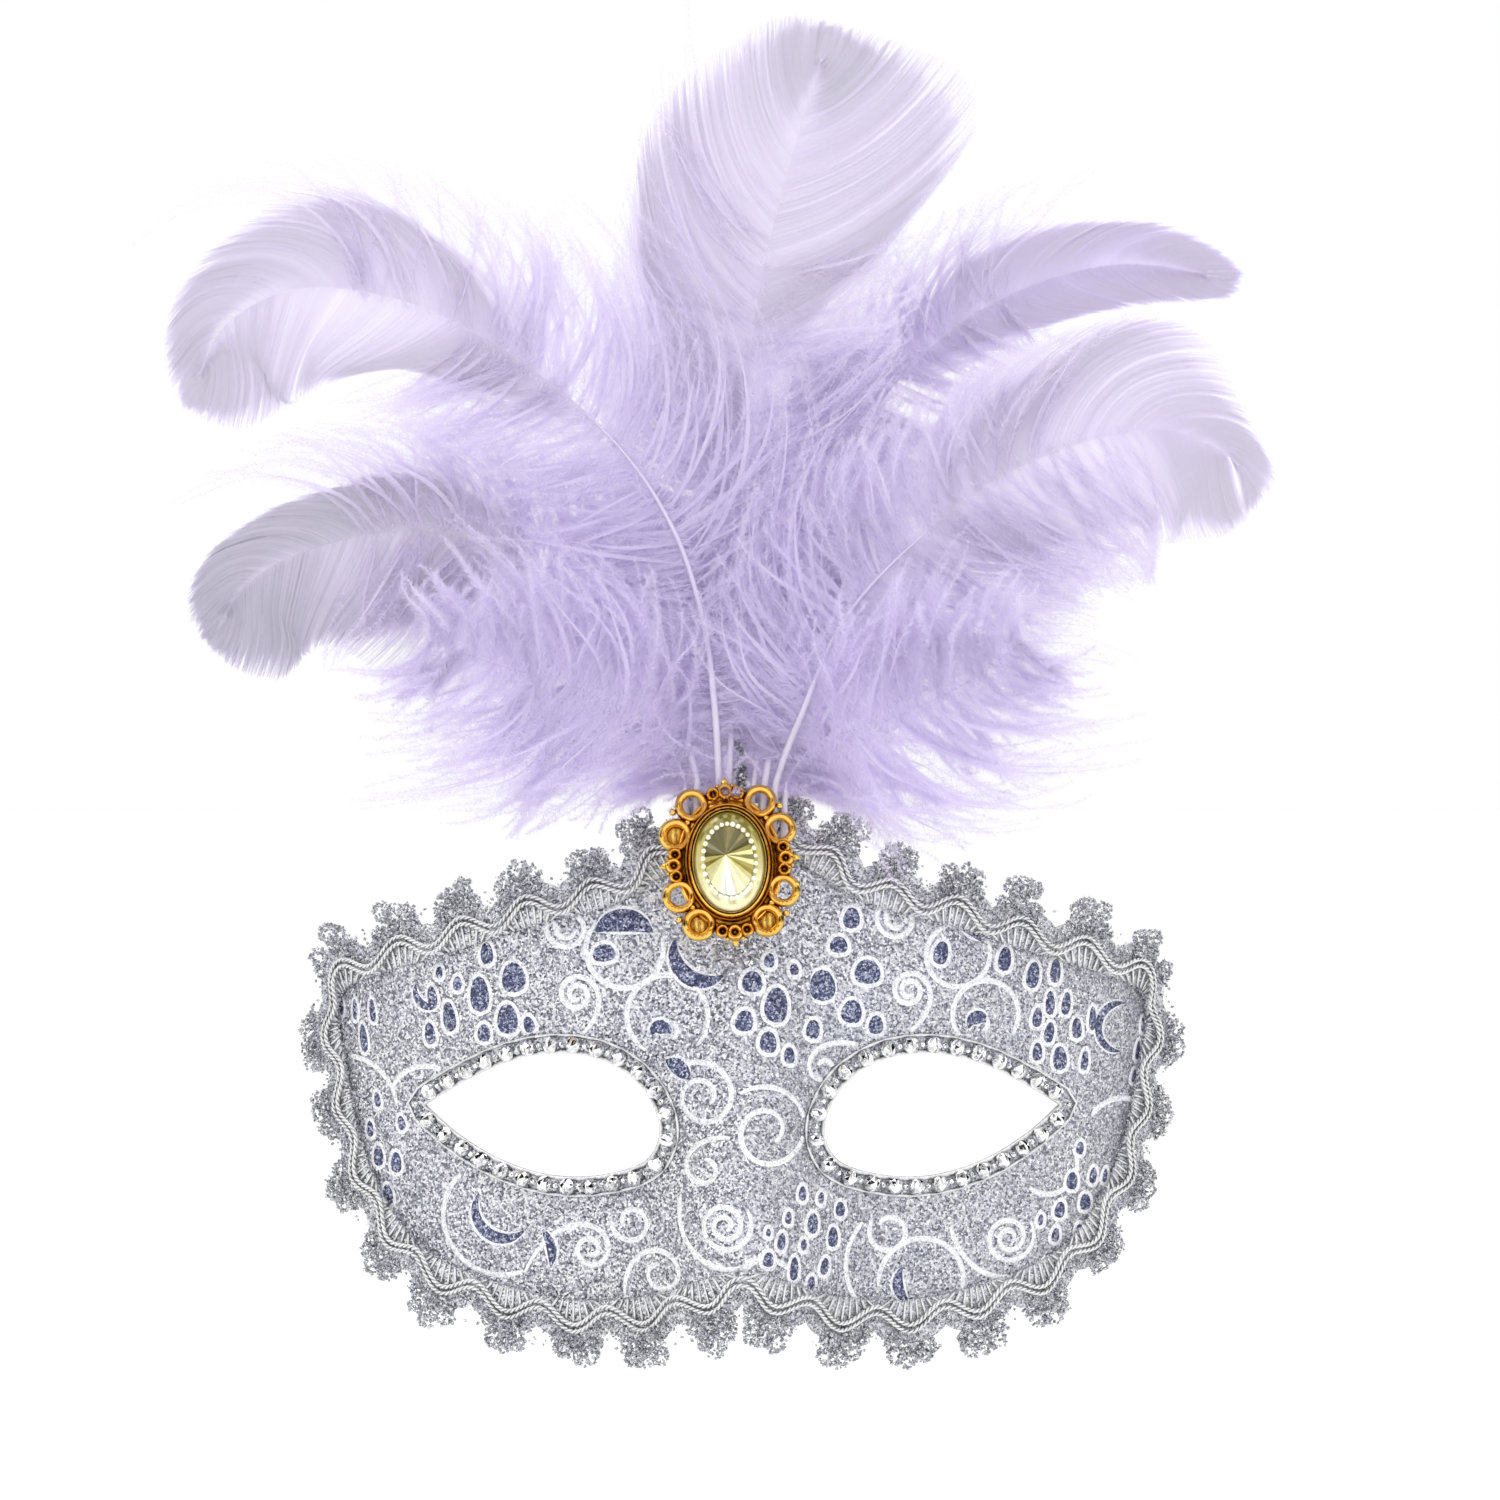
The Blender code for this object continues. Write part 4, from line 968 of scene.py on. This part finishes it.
def finial(heap, x, y, out_x, out_y):
    """A pointed leaf with a small cup at its foot, and a smaller cup and a bead on each side."""
    up = np.array((0.0, 0.0, 1.0))
    out, side = np.array([out_x, out_y, 0.0]), np.array([out_y, out_x, 0.0])
    reach = 1.95 if out_x else 2.15
    foot = np.array([x, y, 0.0])
    cup(heap, x, y, 1.5, 0.45, 0.5, 0.45)
    leaf = np.linspace(0, 1, 9)[:, None]
    tip = foot + up * 0.6 + out * 1.05 + out * leaf * 1.5
    thick = 0.12 + 0.72 * (1 - leaf[:, 0]) ** 0.7
    heap.tube(tip + up * 0.2 * np.sin(leaf * math.pi), thick, up=up, sides=8, squash=0.8)
    for turn in (-1, 1):
        beside = foot + side * turn * reach - out * 0.35
        cup(heap, beside[0], beside[1], 1.3, 0.4, 0.5, 0.35)
        ball(heap, foot + side * turn * reach * 0.6 + out * 0.95 + up * 0.7, 0.5, 0.8)


def build_brooch():
    """The cast frame: a turned bed for the stone, and a border of loops, cups, beads and four finials."""
    heap = BroochHeap()
    gem_x, gem_y = GEM_HALF[0] + 0.2, GEM_HALF[1] + 0.45
    heap.rings([oval(gem_x + grow, gem_y + grow, z, 96) for grow, z in PLATE_SECTION])
    for right in (-1, 1):
        for top in (-1, 1):
            for number, angle in enumerate(LOOP_ANGLES):
                filled = (right < 0 and top > 0 and number == 0) or (top < 0 and number == 1)
                loop(heap, right, top, angle, 0.25 if filled else None)
    for place in FINIALS:
        finial(heap, *place)
    finish_piece(heap.build("brooch_gold", brooch_gold(), sharp=40), "gold_metal", "brooch_frame")


# The stone's section, from its foot to the dish: share of its oval, height.
GEM_SECTION = (
    (0.985, 0.0), (0.985, 0.75), (0.93, 1.1), (0.86, 1.35), (0.78, 1.45), (0.70, 1.3), (0.665, 1.1),
    (0.66, 0.2),
)
GEM_RAYS = 40
GEM_NUBS = 30
# Angle of the dish's ray that gets a painted highlight.
PAINTED_HIGHLIGHT_ANGLE = 1.45 * math.pi


def build_gem():
    """Acrylic stone: a smooth band, a ring of nubs, and within it a dish of flat rays. Vertex tones paint its
    light: painted shade above, painted light below, and painted highlights on the nubs and one low ray.
    """
    heap = BroochHeap()
    base = PLATE_THICKNESS + 0.3
    half_x, half_y = GEM_HALF[0] + 0.1, GEM_HALF[1] + 0.35
    count = 96
    # Painted light on the band: its tone is darker at the top as painted shade and paler at the bottom as
    # painted light.
    band = 0.48 - 0.26 * np.sin(np.arange(count) * TURN / count)
    rings = [oval(half_x * share, half_y * share, base + height, count) for share, height in GEM_SECTION]
    heap.rings(rings, tone=np.tile(band, len(rings)))
    hub = (-0.6, 1.3, base + 0.45)
    for k in range(GEM_RAYS):
        b = np.array([k, k + 1]) * TURN / GEM_RAYS
        low = [(half_x * 0.68 * math.cos(c), half_y * 0.68 * math.sin(c), base + 1.25 + 0.22 * (n % 2))
               for n, c in zip((k, k + 1), b)]
        # Painted light on the dish: rays are darker above as painted shade and paler below, and one ray low
        # down gets a painted highlight.
        hot = abs(b.mean() - PAINTED_HIGHLIGHT_ANGLE) < 0.35
        ray_painted_light = 0.34 - 0.36 * math.sin(b.mean()) + random.uniform(-0.2, 0.2) + 0.5 * hot
        heap.add(low + [hub], [(0, 1, 2)], tone=min(max(ray_painted_light, 0.0), 1.0))
    for k in range(GEM_NUBS):
        b = TURN * (k + 0.5) / GEM_NUBS
        centre = (half_x * 0.74 * math.cos(b), half_y * 0.74 * math.sin(b), base + 1.45)
        # Painted highlights: each nub gets a bright tone.
        ball(heap, centre, random.uniform(0.40, 0.52), 0.8, tone=random.uniform(0.75, 1.0))
    finish_piece(heap.build("gem_stone", gem_stone(), sharp=6), "yellow_gem", "gem")


# ---------------------------------------------------------------- plumes

QUILL_FOOT_Z = 47.0
QUILL_TOP_Z = 60.0
QUILL_PITCH = 1.9
QUILL_RADII = (0.7, 0.3)
LAYER_STEP = 3.4
LAYER_DEPTH = 4.0
FAN_OUT = (13.0, 31.0)
TAIL_X = BROOCH_X + QUILL_PITCH
TAIL_TOP = 69.0
# Slot, layer, curl, and the shaft's (x, z).
PLUMES = {
    "crown": (4, 5, -9.0, [
        (-2.2, 61), (-1.2, 90), (0, 117), (2.5, 143), (7.5, 164), (15, 188.5)]),
    "upper_left": (3, 3, 10.0, [
        (-4.2, 61), (-4.9, 73), (-6.8, 87), (-12, 103), (-22, 118), (-38, 132), (-57, 142.5), (-77, 146),
        (-91, 140), (-97, 129)]),
    "lower_left": (1, 4, -10.0, [
        (-8.3, 60.5), (-12, 72), (-22, 86), (-38, 98), (-56, 103), (-74, 100), (-86, 93.5), (-92.5, 84)]),
    "upper_right": (7, 7, 8.0, [
        (4.4, 61), (8, 83), (15, 108), (26, 128), (43, 143), (66, 151), (89.5, 149)]),
    "lower_right": (8, 2, -8.0, [
        (6.6, 60.5), (9.8, 69), (18.5, 88), (34, 104), (50, 114.5), (70, 120), (83, 116.5), (90.5, 107.5)]),
    "down_left": (0, 1, -4.0, [
        (-10.6, 60.5), (-15, 67), (-28, 75), (-42, 79), (-56, 84)]),
    "down_right": (9, 0, -4.0, [
        (8.6, 60), (14, 66), (25, 69.5), (38, 75.5), (50, 84)]),
    "down_rear": (6, 6, -1.0, [
        (2.4, 61), (5, 84), (9.5, 105), (15, 122), (19, 138)]),
}
# Outlines of the closed vanes, (x, z): from the down to the tip along the shaft's left, then along its right.
VANES = {
    "crown": (
        [(-25, 142.5), (-22.5, 149.5), (-20, 156.5), (-17.5, 171.5), (-11.5, 181), (-5, 186), (2.5, 191),
         (9, 193), (17, 191.5)],
        [(21, 139), (24.5, 150), (29, 158), (36, 166), (40.5, 173), (40.5, 179), (37.5, 184), (28.5, 188),
         (17, 191.5)]),
    "upper_left": (
        [(-43, 122), (-51, 128.5), (-59, 131.5), (-66, 131.5), (-73, 129.5), (-81.5, 125), (-88.5, 121.5),
         (-94, 122.5), (-99, 125)],
        [(-38.5, 144), (-48, 150.5), (-58, 157), (-69, 163), (-75, 164), (-81, 162.5), (-89.5, 156.5),
         (-96, 151), (-101.5, 142), (-102, 132), (-99, 125)]),
    "lower_left": (
        [(-60, 73), (-66.5, 80), (-73, 83), (-78, 79), (-81, 77), (-88, 78.5), (-94.5, 84)],
        [(-53.5, 116.5), (-61.5, 114.5), (-69.5, 111), (-82, 106.5), (-92.5, 99), (-96.5, 91),
         (-94.5, 84)]),
    "upper_right": (
        [(29, 146), (34, 153), (42, 157), (55, 158.5), (66, 159), (75.5, 158.5), (84, 155), (90, 150)],
        [(42, 134), (55.5, 140.5), (70, 144), (80.5, 145), (88, 146), (90, 150)]),
    "lower_right": (
        [(44, 132), (59, 138), (72, 139.5), (78.5, 137.5), (82.5, 133.5), (86, 126), (90, 117.5),
         (92.5, 111), (87.5, 104.5)],
        [(54, 80), (60.5, 94), (68.5, 99.5), (79.5, 101), (84.5, 102), (87.5, 104.5)]),
}
Dress = namedtuple("Dress", "start full down wide comb grey front thick")
# How each plume is dressed, with pairs for its left and right: the shares of the shaft between which its
# down gives out, the length of the down, its length near the vane, and the share of the vane's edge that is
# combed apart. Then how far the vane's tone is shifted: towards grey as painted shade, or back from it as
# painted light where below nought. Then how far in front of the shaft the barbs start, and how many down
# barbs there are to the millimetre. A plume without a vane never reaches the shares where its down gives out.
DRESS = {
    "crown": Dress((0.42, 0.40), (0.80, 0.74), (42, 42), (30, 31), (0.40, 0.72), 0.04, 0.6, 2.6),
    "upper_left": Dress((0.46, 0.54), (0.66, 0.78), (38, 44), (24, 26), (0.30, 0.60), 0.0, -0.1, 2.6),
    "lower_left": Dress((0.52, 0.52), (0.74, 0.74), (36, 40), (22, 23), (0.35, 0.25), 0.22, 0.5, 3.0),
    "upper_right": Dress((0.48, 0.50), (0.72, 0.74), (36, 34), (20, 17), (0.55, 0.35), -0.2, 0.1, 2.6),
    "lower_right": Dress((0.44, 0.52), (0.68, 0.80), (38, 46), (22, 30), (0.45, 0.85), -0.05, 0.0, 2.6),
    "down_left": Dress((2, 2), (2, 2), (34, 29), (1, 1), (0, 0), 0.0, 0.5, 9.5),
    "down_right": Dress((2, 2), (2, 2), (28, 34), (1, 1), (0, 0), 0.0, 0.5, 9.5),
    "down_rear": Dress((2, 2), (2, 2), (26, 26), (1, 1), (0, 0), 0.0, 0.5, 4.0),
}


def quill_row(z):
    """Depth of the row of quills behind the brooch."""
    return brooch_back(0.0) + math.tan(BROOCH_LEAN) * z + 0.5 + 2 * GAP + QUILL_RADII[0]


class Shaft:
    """A plume's shaft, with places beside it: distance along, reach to the left, and depth behind."""

    def __init__(self, name, count=200):
        slot, layer, curl, points = PLUMES[name]
        self.name, self.dress = name, DRESS[name]
        foot = (BROOCH_X + (slot - 4) * QUILL_PITCH, QUILL_FOOT_Z)
        run = [foot, (0.75 * foot[0] + 0.25 * points[0][0], 56.0)] + points
        flat = resample(spline(run, 12), count)
        self.far = travelled(flat)
        self.length = float(self.far[-1])
        leave = smooth_step(*FAN_OUT, self.far)
        depth = LAYER_DEPTH + (layer - 3.5) * LAYER_STEP
        y = quill_row(np.minimum(flat[:, 1], QUILL_TOP_Z)) * (1 - leave) + depth * leave
        y = y + curl * smooth_step(0.45, 1.0, self.far / self.length) ** 1.5
        self.points = np.stack([flat[:, 0], y, flat[:, 1]], axis=1)
        self.along = unit(np.gradient(self.points, axis=0))
        self.left = unit(np.cross(self.along, (0.0, 1.0, 0.0)))
        self.behind = np.cross(self.left, self.along)

    def pick(self, rows, distance):
        return np.stack([np.interp(distance, self.far, rows[:, k]) for k in range(3)], axis=-1)

    def place(self, distance, reach, depth):
        """Reach and depth are measured in the frame at that distance, and past the tip in the frame there."""
        beyond = np.maximum(distance - self.length, 0.0)[..., None]
        base = self.pick(self.points, distance) + self.along[-1] * beyond
        left, behind = self.pick(self.left, distance), self.pick(self.behind, distance)
        return base + left * reach[..., None] + behind * depth[..., None]

    def beside(self, flat):
        """How far along the shaft, and out from it, (x, z) places are. The shaft's line runs past its tip."""
        far = np.linspace(0.0, self.length + 24.0, 2400)
        line = self.place(far, np.zeros(len(far)), np.zeros(len(far)))[:, ::2]
        gaps = np.linalg.norm(flat[:, None] - line[None], axis=2)
        nearest = np.argmin(gaps, axis=1)
        return far[nearest], gaps[np.arange(len(flat)), nearest]


WEB_BARBS = 420
CLUMP_SIZES = (16, 70)           # barbs in a clump between two splits
CLUMP_PULL = 0.14
TOOTH_CHANCE = 0.16              # that a barb starts a new tooth where the vane is combed
WEB_HALF_WIDTHS = (0.24, 0.42)
DOWN_START = 10.0
MOST_BARBULES = 520
BARBULES_TO_A_SIDE = 72000
# Length of the barbules along a barb: places along it, and shares of the full length there.
WEB_BARBULES = ([0, 0.3, 0.7, 1], [1, 1, 0.5, 0.2])
DOWN_BARBULES = ([0, 0.12, 0.6, 1], [0.5, 1.0, 0.85, 0.25])


def ribbons(heap, paths, half_widths, facing, tilt, tones):
    """Flat strips along paths (n, k, 3), each with its own tilt about its line."""
    n, k, _ = paths.shape
    along = unit(np.gradient(paths, axis=1))
    across = unit(np.cross(along, facing))
    rise = np.cross(across, along)
    tilt = tilt[:, None, None]
    across = across * np.cos(tilt) + rise * np.sin(tilt)
    aside = across * half_widths[..., None]
    verts = np.stack([paths - aside, paths + aside], axis=2)
    first = (np.arange(n)[:, None] * k + np.arange(k - 1)[None]) * 2
    quads = np.stack([first, first + 1, first + 3, first + 2], axis=-1).reshape(-1, 4)
    heap.add(verts.reshape(-1, 3), quads, tone=np.repeat(tones.reshape(-1), 2))


def barbules(heap, paths, number, length, width, tones, profile):
    """Fine spikes all round each path, leaning towards its tip."""
    n, k, _ = paths.shape
    t = random.random((n, number))
    at = t * (k - 1.001)
    low = at.astype(int)
    rows = np.arange(n)[:, None]
    a, b = paths[rows, low], paths[rows, low + 1]
    place = a + (b - a) * (at - low)[..., None]
    along = unit(b - a)
    around = unit(np.cross(along, random.normal(size=place.shape)))
    reach = length[:, None] * np.interp(t, *profile) * random.uniform(0.55, 1.15, t.shape)
    tip = place + unit(around + along * random.uniform(0.5, 1.3, t.shape)[..., None]) * reach[..., None]
    half = along * width / 2
    verts = np.stack([place - half, place + half, tip], axis=2).reshape(-1, 3)
    tone = np.repeat((tones[:, None] + random.normal(size=t.shape) * 0.06).reshape(-1), 3)
    heap.add(verts, np.arange(len(verts)).reshape(-1, 3), tone=tone)


def barb_lines(shaft, side, roots, ends, reach, depth, stations, wander=0.0, cross=None):
    """Barb centre lines, (n, stations, 3). They leave the shaft steeply and bend towards its tip."""
    t = np.linspace(0, 1, stations)[None]
    distance = roots[:, None] + (ends - roots)[:, None] * (0.55 * t + 0.45 * t * t)
    out = reach[:, None] * (1.35 * t - 0.35 * t * t) + 0.05
    if cross is not None:
        out = out - cross[:, None] * (1 - t) ** 3
    front = shaft.dress.front
    front = front + (0.6 - front) * smooth_step(0.45, 0.55, roots / shaft.length)[:, None]
    back = -front + (0.9 + front) * (1 - np.exp(-t * 7)) + depth[:, None] * t ** 1.6
    if wander:
        phase = random.random((3, len(roots), 1)) * TURN
        pace = random.uniform(0.4, 1.2, (3, len(roots), 1)) * TURN
        grow = wander * t
        distance = distance + grow * np.sin(pace[0] * t + phase[0])
        out = out + grow * np.sin(pace[1] * t + phase[1])
        back = back + grow * 1.2 * np.sin(pace[2] * t + phase[2])
    return shaft.place(distance, out * (1, -1)[side], back)


def mean_by(groups, values):
    """Each item's mean over its group."""
    return np.array([values[groups == group].mean() for group in groups])


def vane_tips(shaft, side, share, loose):
    """Barbs' ends: drawn together in clumps and teeth, as they lie on the outline, and each one's clump."""
    count = len(share)
    edge = spline(VANES[shaft.name][side], 10)
    length = travelled(edge)[-1]
    edges = [0]
    while edges[-1] < count:
        edges.append(edges[-1] + int(random.integers(*CLUMP_SIZES)))
    clump = np.searchsorted(edges, np.arange(count), side="right") - 1
    clumps = clump.max() + 1
    tooth = np.cumsum(random.random(count) < TOOTH_CHANCE)
    pull = random.uniform(0.0, CLUMP_PULL, clumps)[clump] * smooth_step(0.0, 0.2, 1 - share)
    comb = 0.85 * np.minimum(loose * 1.8, 1.0)
    drawn = share + (mean_by(clump, share) - share) * pull + (mean_by(tooth, share) - share) * comb
    drawn = drawn + random.normal(size=count) * 0.008 * loose
    return at_distances(edge, np.clip(drawn, 0, 1) * length), at_distances(edge, share * length), clump


def web_roots(shaft, edge):
    """How far along the shaft barbs root and end, and how far they reach, to meet places on the outline."""
    count = len(edge)
    ends, reach = shaft.beside(edge)
    # Inside a bend the nearest place on the shaft jumps, so the jumps are spread along it.
    window = np.hanning(count // 3)
    padded = np.pad(ends, len(window) // 2, mode="reflect", reflect_type="odd")
    smooth = np.convolve(padded, window / window.sum(), mode="same")[len(window) // 2:][:count]
    ends = np.maximum.accumulate(smooth)
    return np.clip(ends - reach * 0.95 - 7.0, 8.0, shaft.length - 1.0), ends, reach


def web(heap, shaft, side):
    """The closed part of a vane: overlapping barbs that end on its outline, parted by a few splits."""
    count, stations = WEB_BARBS, 14
    share = np.linspace(0.0, 1.0, count)
    loose = 1 - smooth_step(0.0, shaft.dress.comb[side], share)
    tips, edge, clump = vane_tips(shaft, side, share, loose)
    roots, ends, reach = web_roots(shaft, edge)
    reach = reach * (1 + random.normal(size=count) * (0.004 + 0.06 * loose))
    reach = reach + 0.6 * loose * random.random(count)
    depth = 0.02 * reach + random.normal(size=clump.max() + 1)[clump] * 0.15
    depth = depth + random.normal(size=count) * (0.03 + 0.8 * loose)
    lines = barb_lines(shaft, side, roots, ends, reach, depth, stations)
    t = np.linspace(0, 1, stations)[None]
    tips = tips + random.normal(size=tips.shape) * 0.22
    offset = (tips - lines[:, -1, ::2])[:, None] * (t ** 1.5)[..., None]
    stray = random.normal(size=(count, 1)) * 0.9 * loose[:, None] * t ** 2
    lines[:, :, ::2] += offset + unit(offset + 1e-9) * stray[..., None]
    # Past its split a barb is thin. Near the plume's tip barbs widen, but less so where their roots crowd.
    split = random.uniform(0.90, 1.02, (count, 1)) - 0.75 * loose[:, None]
    shut = 1 - smooth_step(split - 0.14, split + 0.02, t)
    closed = np.where(random.random(count) < 0.5, *WEB_HALF_WIDTHS)[:, None]
    closed = closed * (1 + 0.9 * smooth_step(0.8, 0.95, share))[:, None]
    closed = closed * (1 - 0.8 * smooth_step(0.7, 0.95, share)[:, None] * (1 - smooth_step(0.0, 0.3, t)))
    wide = (closed * shut + 0.12 * (1 - shut) * (1 - 0.7 * t)) * (1 - 0.75 * loose[:, None] ** 1.5)
    facing = shaft.pick(shaft.behind, np.minimum(ends, shaft.length))[:, None]
    # dress.grey shifts the vane's tone: towards grey as painted shade, or away as painted light where below
    # nought.
    tones = 0.50 + shaft.dress.grey + 0.14 * share[:, None] - 0.05 * (1 - t) ** 3
    tones = tones + random.normal(size=(count, 1)) * 0.05
    ribbons(heap, lines, wide, facing, random.normal(size=count) * 0.10, tones)
    fuzzy = loose > 0.3
    barbules(heap, lines[fuzzy], 60, 0.5 + 1.2 * loose[fuzzy], 0.06, tones[fuzzy, 0], WEB_BARBULES)


def down(heap, shaft, side):
    """The loose lower part: long soft barbs, each with fine barbules all round."""
    dress, stations = shaft.dress, 16
    start, full, longest = dress.start[side], dress.full[side], dress.down[side]
    top = min(full, 0.97)
    first = DOWN_START / shaft.length
    share = np.sort(random.uniform(first, top, int((top - first) * shaft.length * dress.thick)))
    share = share[random.random(len(share)) > 0.75 * smooth_step(start, top + 0.05, share)]
    count = len(share)
    grow = smooth_step(first - 0.06, first + 0.20, share)
    reach = longest * (0.45 + 0.55 * grow) * random.uniform(0.6, 1.05, count)
    if shaft.name in VANES:
        reach += (np.minimum(reach, dress.wide[side]) - reach) * smooth_step(0.5 * start, start, share)
    else:
        reach *= 1 - 0.6 * smooth_step(0.45, 1.0, share)
    roots = share * shaft.length
    forward = reach * random.uniform(0.1 - 0.75 * (1 - grow), 1.15, count)
    depth = random.normal(size=count) * 3.0
    lines = barb_lines(shaft, side, roots, roots + forward, reach * 0.86, depth, stations, wander=1.3,
                       cross=random.uniform(0.0, 2.2, count))
    # No barb crosses in front of the tail.
    near = lines[:, :11]
    hides = (np.abs(near[..., 0] - TAIL_X) < 1.5) & (near[..., 2] < TAIL_TOP)
    hides &= near[..., 1] < quill_row(QUILL_TOP_Z)
    kept = ~np.any(hides, axis=1)
    lines, share, roots, count = lines[kept], share[kept], roots[kept], int(kept.sum())
    tones = 0.05 + 0.5 * share / max(start, 1.0) + random.normal(size=count) * 0.04
    t = np.linspace(0, 1, stations)[None]
    # Every other barb is a broad soft one, which closes the gaps behind the fine ones.
    broad = (np.arange(count) % 2)[:, None] * 0.34
    wide = 0.08 * (1 - 0.8 * t) + broad * smooth_step(0.0, 0.2, t) * (1 - smooth_step(0.35, 0.8, t))
    facing = shaft.pick(shaft.behind, roots)[:, None]
    ribbons(heap, lines, wide, facing, random.normal(size=count) * 0.6,
            np.broadcast_to(tones[:, None], lines.shape[:2]))
    number = min(MOST_BARBULES, BARBULES_TO_A_SIDE // max(count, 1))
    barbules(heap, lines, number, np.full(count, 2.8), 0.085, tones, DOWN_BARBULES)


def build_quill(shaft, horn):
    share = shaft.far / shaft.length
    fade = 0.66 if shaft.name in VANES else 0.35
    radius = QUILL_RADII[0] * (0.95 - 0.80 * smooth_step(0.0, fade, share))
    radius = radius * np.sqrt(np.clip((0.96 - share) / 0.05, 0.02, 1))
    quill = Heap()
    quill.tube(shaft.points, radius, up=shaft.behind, sides=10, tone=share)
    finish_piece(quill.build(f"shaft_{shaft.name}", horn), "feather_quill", f"quill_{shaft.name}")


def build_plumes():
    look, horn = feather_web(), quill_horn()
    for name in PLUMES:
        shaft = Shaft(name)
        heap = Heap()
        for side in (0, 1):
            if name in VANES:
                web(heap, shaft, side)
            down(heap, shaft, side)
        finish_piece(heap.build(f"barbs_{name}", look), "feather_vane", f"vane_{name}")
        build_quill(shaft, horn)


def build_tail():
    """The trimmed end of the braid, standing among the quills."""
    heap = Heap()
    profile = np.array([(47.5, 0.7), (56.0, 0.7), (60.0, 0.95), (66.0, 0.8), (69.5, 0.8), (71.5, 0.4)])
    z = 47.6 + 23.5 * random.random(520)
    radius = np.interp(z, *profile.T)
    a = random.random(520) * TURN
    x, y = TAIL_X + radius * np.cos(a), quill_row(z) + radius * 0.8 * np.sin(a)
    grains(heap, np.stack([x, y, z], axis=1), 0.24, 0.4)
    for ply in range(3):
        t = np.linspace(0, 1, 60)
        turn = t * TURN * 7 + ply * TURN / 3
        height = 47.6 + 23.0 * t
        body = np.interp(height, *profile.T) * 0.55
        x, y = TAIL_X + body * np.cos(turn), quill_row(height) + body * np.sin(turn)
        heap.tube(np.stack([x, y, height], axis=1), 0.36, up=(0, 1, 0))
    look = glitter("tail_yarn", (0.03, 0.03, 0.05), (0.40, 0.41, 0.46), (1.0, 1.0, 1.0), flake=0.4,
                   metallic=0.6)
    finish_piece(heap.build("tail_tinsel", look, sharp=25), "silver_yarn", "braid_tail")


# ---------------------------------------------------------------- room, light and camera

FLOOR_Z = -0.075
FLOOR_HALF = 12.0


def grey(level):
    return (level, level, level)


def build_room():
    """A plain pale floor and a soft white room. Glossy surfaces see bands in it, as from softboxes."""
    look = clouded("floor", (3.0, 2.0), [(0.3, grey(0.93)), (0.7, grey(0.96))],
                   Roughness=0.7, Specular_IOR_Level=0.2)[0]
    mesh = bpy.data.meshes.new("floor")
    corners = [(x * FLOOR_HALF, y * FLOOR_HALF, FLOOR_Z) for x, y in ((-1, -1), (1, -1), (1, 1), (-1, 1))]
    mesh.from_pydata(corners, [], [(0, 1, 2, 3)])
    mesh.materials.append(look.material)
    floor = bpy.data.objects.new("floor", mesh)
    bpy.context.scene.collection.objects.link(floor)

    world = bpy.data.worlds.new("studio")
    bpy.context.scene.world = world
    world.use_nodes = True
    tree = world.node_tree
    direction = node(tree, "TexCoord").outputs["Generated"]
    bands = node(tree, "TexWave", {"Vector": direction, "Scale": 1.3, "Distortion": 3.0, "Detail": 1.0})
    stripes = ramp(tree, bands.outputs["Fac"], [(0.40, grey(0.01)), (0.5, grey(0.72)), (0.82, grey(1.9))])
    height = node(tree, "SeparateXYZ", {"Vector": direction}).outputs["Z"]
    level = spread_of(tree, height, 0.68, 1.34)
    path = node(tree, "LightPath").outputs
    soft = node(tree, "Mix", {"Factor": path["Is Glossy Ray"], "A": level, "B": stripes}, data_type="RGBA")
    white = (1, 1, 1, 1)
    seen = node(tree, "Mix", {"Factor": path["Is Camera Ray"], "A": soft.outputs["Result"], "B": white},
                data_type="RGBA")
    tree.links.new(seen.outputs["Result"], tree.nodes["Background"].inputs["Color"])


def area_light(name, place, aim, size, power):
    data = bpy.data.lights.new(name, "AREA")
    data.shape = "RECTANGLE"
    data.size, data.size_y = size
    data.energy = power
    lamp = bpy.data.objects.new(name, data)
    lamp.location = place
    lamp.rotation_euler = (Vector(aim) - Vector(place)).to_track_quat("-Z", "Y").to_euler()
    lamp.visible_camera = False
    bpy.context.scene.collection.objects.link(lamp)


def build_lights():
    aim = (0.0, 0.02, 0.06)
    area_light("key", (-0.55, -1.0, 1.15), aim, (0.7, 0.7), 4.5)
    area_light("fill", (0.9, -0.9, 0.5), aim, (0.5, 0.9), 1.5)
    area_light("top", (0.1, 0.5, 1.4), aim, (1.0, 0.6), 3.0)


VIEW_WIDTH = 0.2625              # metres across the picture, a metre away


def build_camera():
    data = bpy.data.cameras.new("camera")
    data.sensor_width = 36.0
    data.lens = data.sensor_width / VIEW_WIDTH
    data.dof.use_dof = False
    camera = bpy.data.objects.new("camera", data)
    camera.location = (0.0014, -1.0, 0.0644)
    camera.rotation_euler = (math.radians(90), 0.0, 0.0)
    bpy.context.scene.collection.objects.link(camera)
    bpy.context.scene.camera = camera


def main():
    bpy.context.scene.view_settings.view_transform = "Standard"
    points, triangles = face_mesh(1.7)
    build_shell(points, triangles)
    build_cloth(points, triangles)
    build_print()
    build_braid()
    build_wave_cords()
    build_beads()
    build_brooch()
    build_gem()
    build_plumes()
    build_tail()
    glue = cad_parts["glue_pad"]
    glue.data.materials.clear()
    glue.data.materials.append(hot_glue())
    build_room()
    build_lights()
    build_camera()


main()
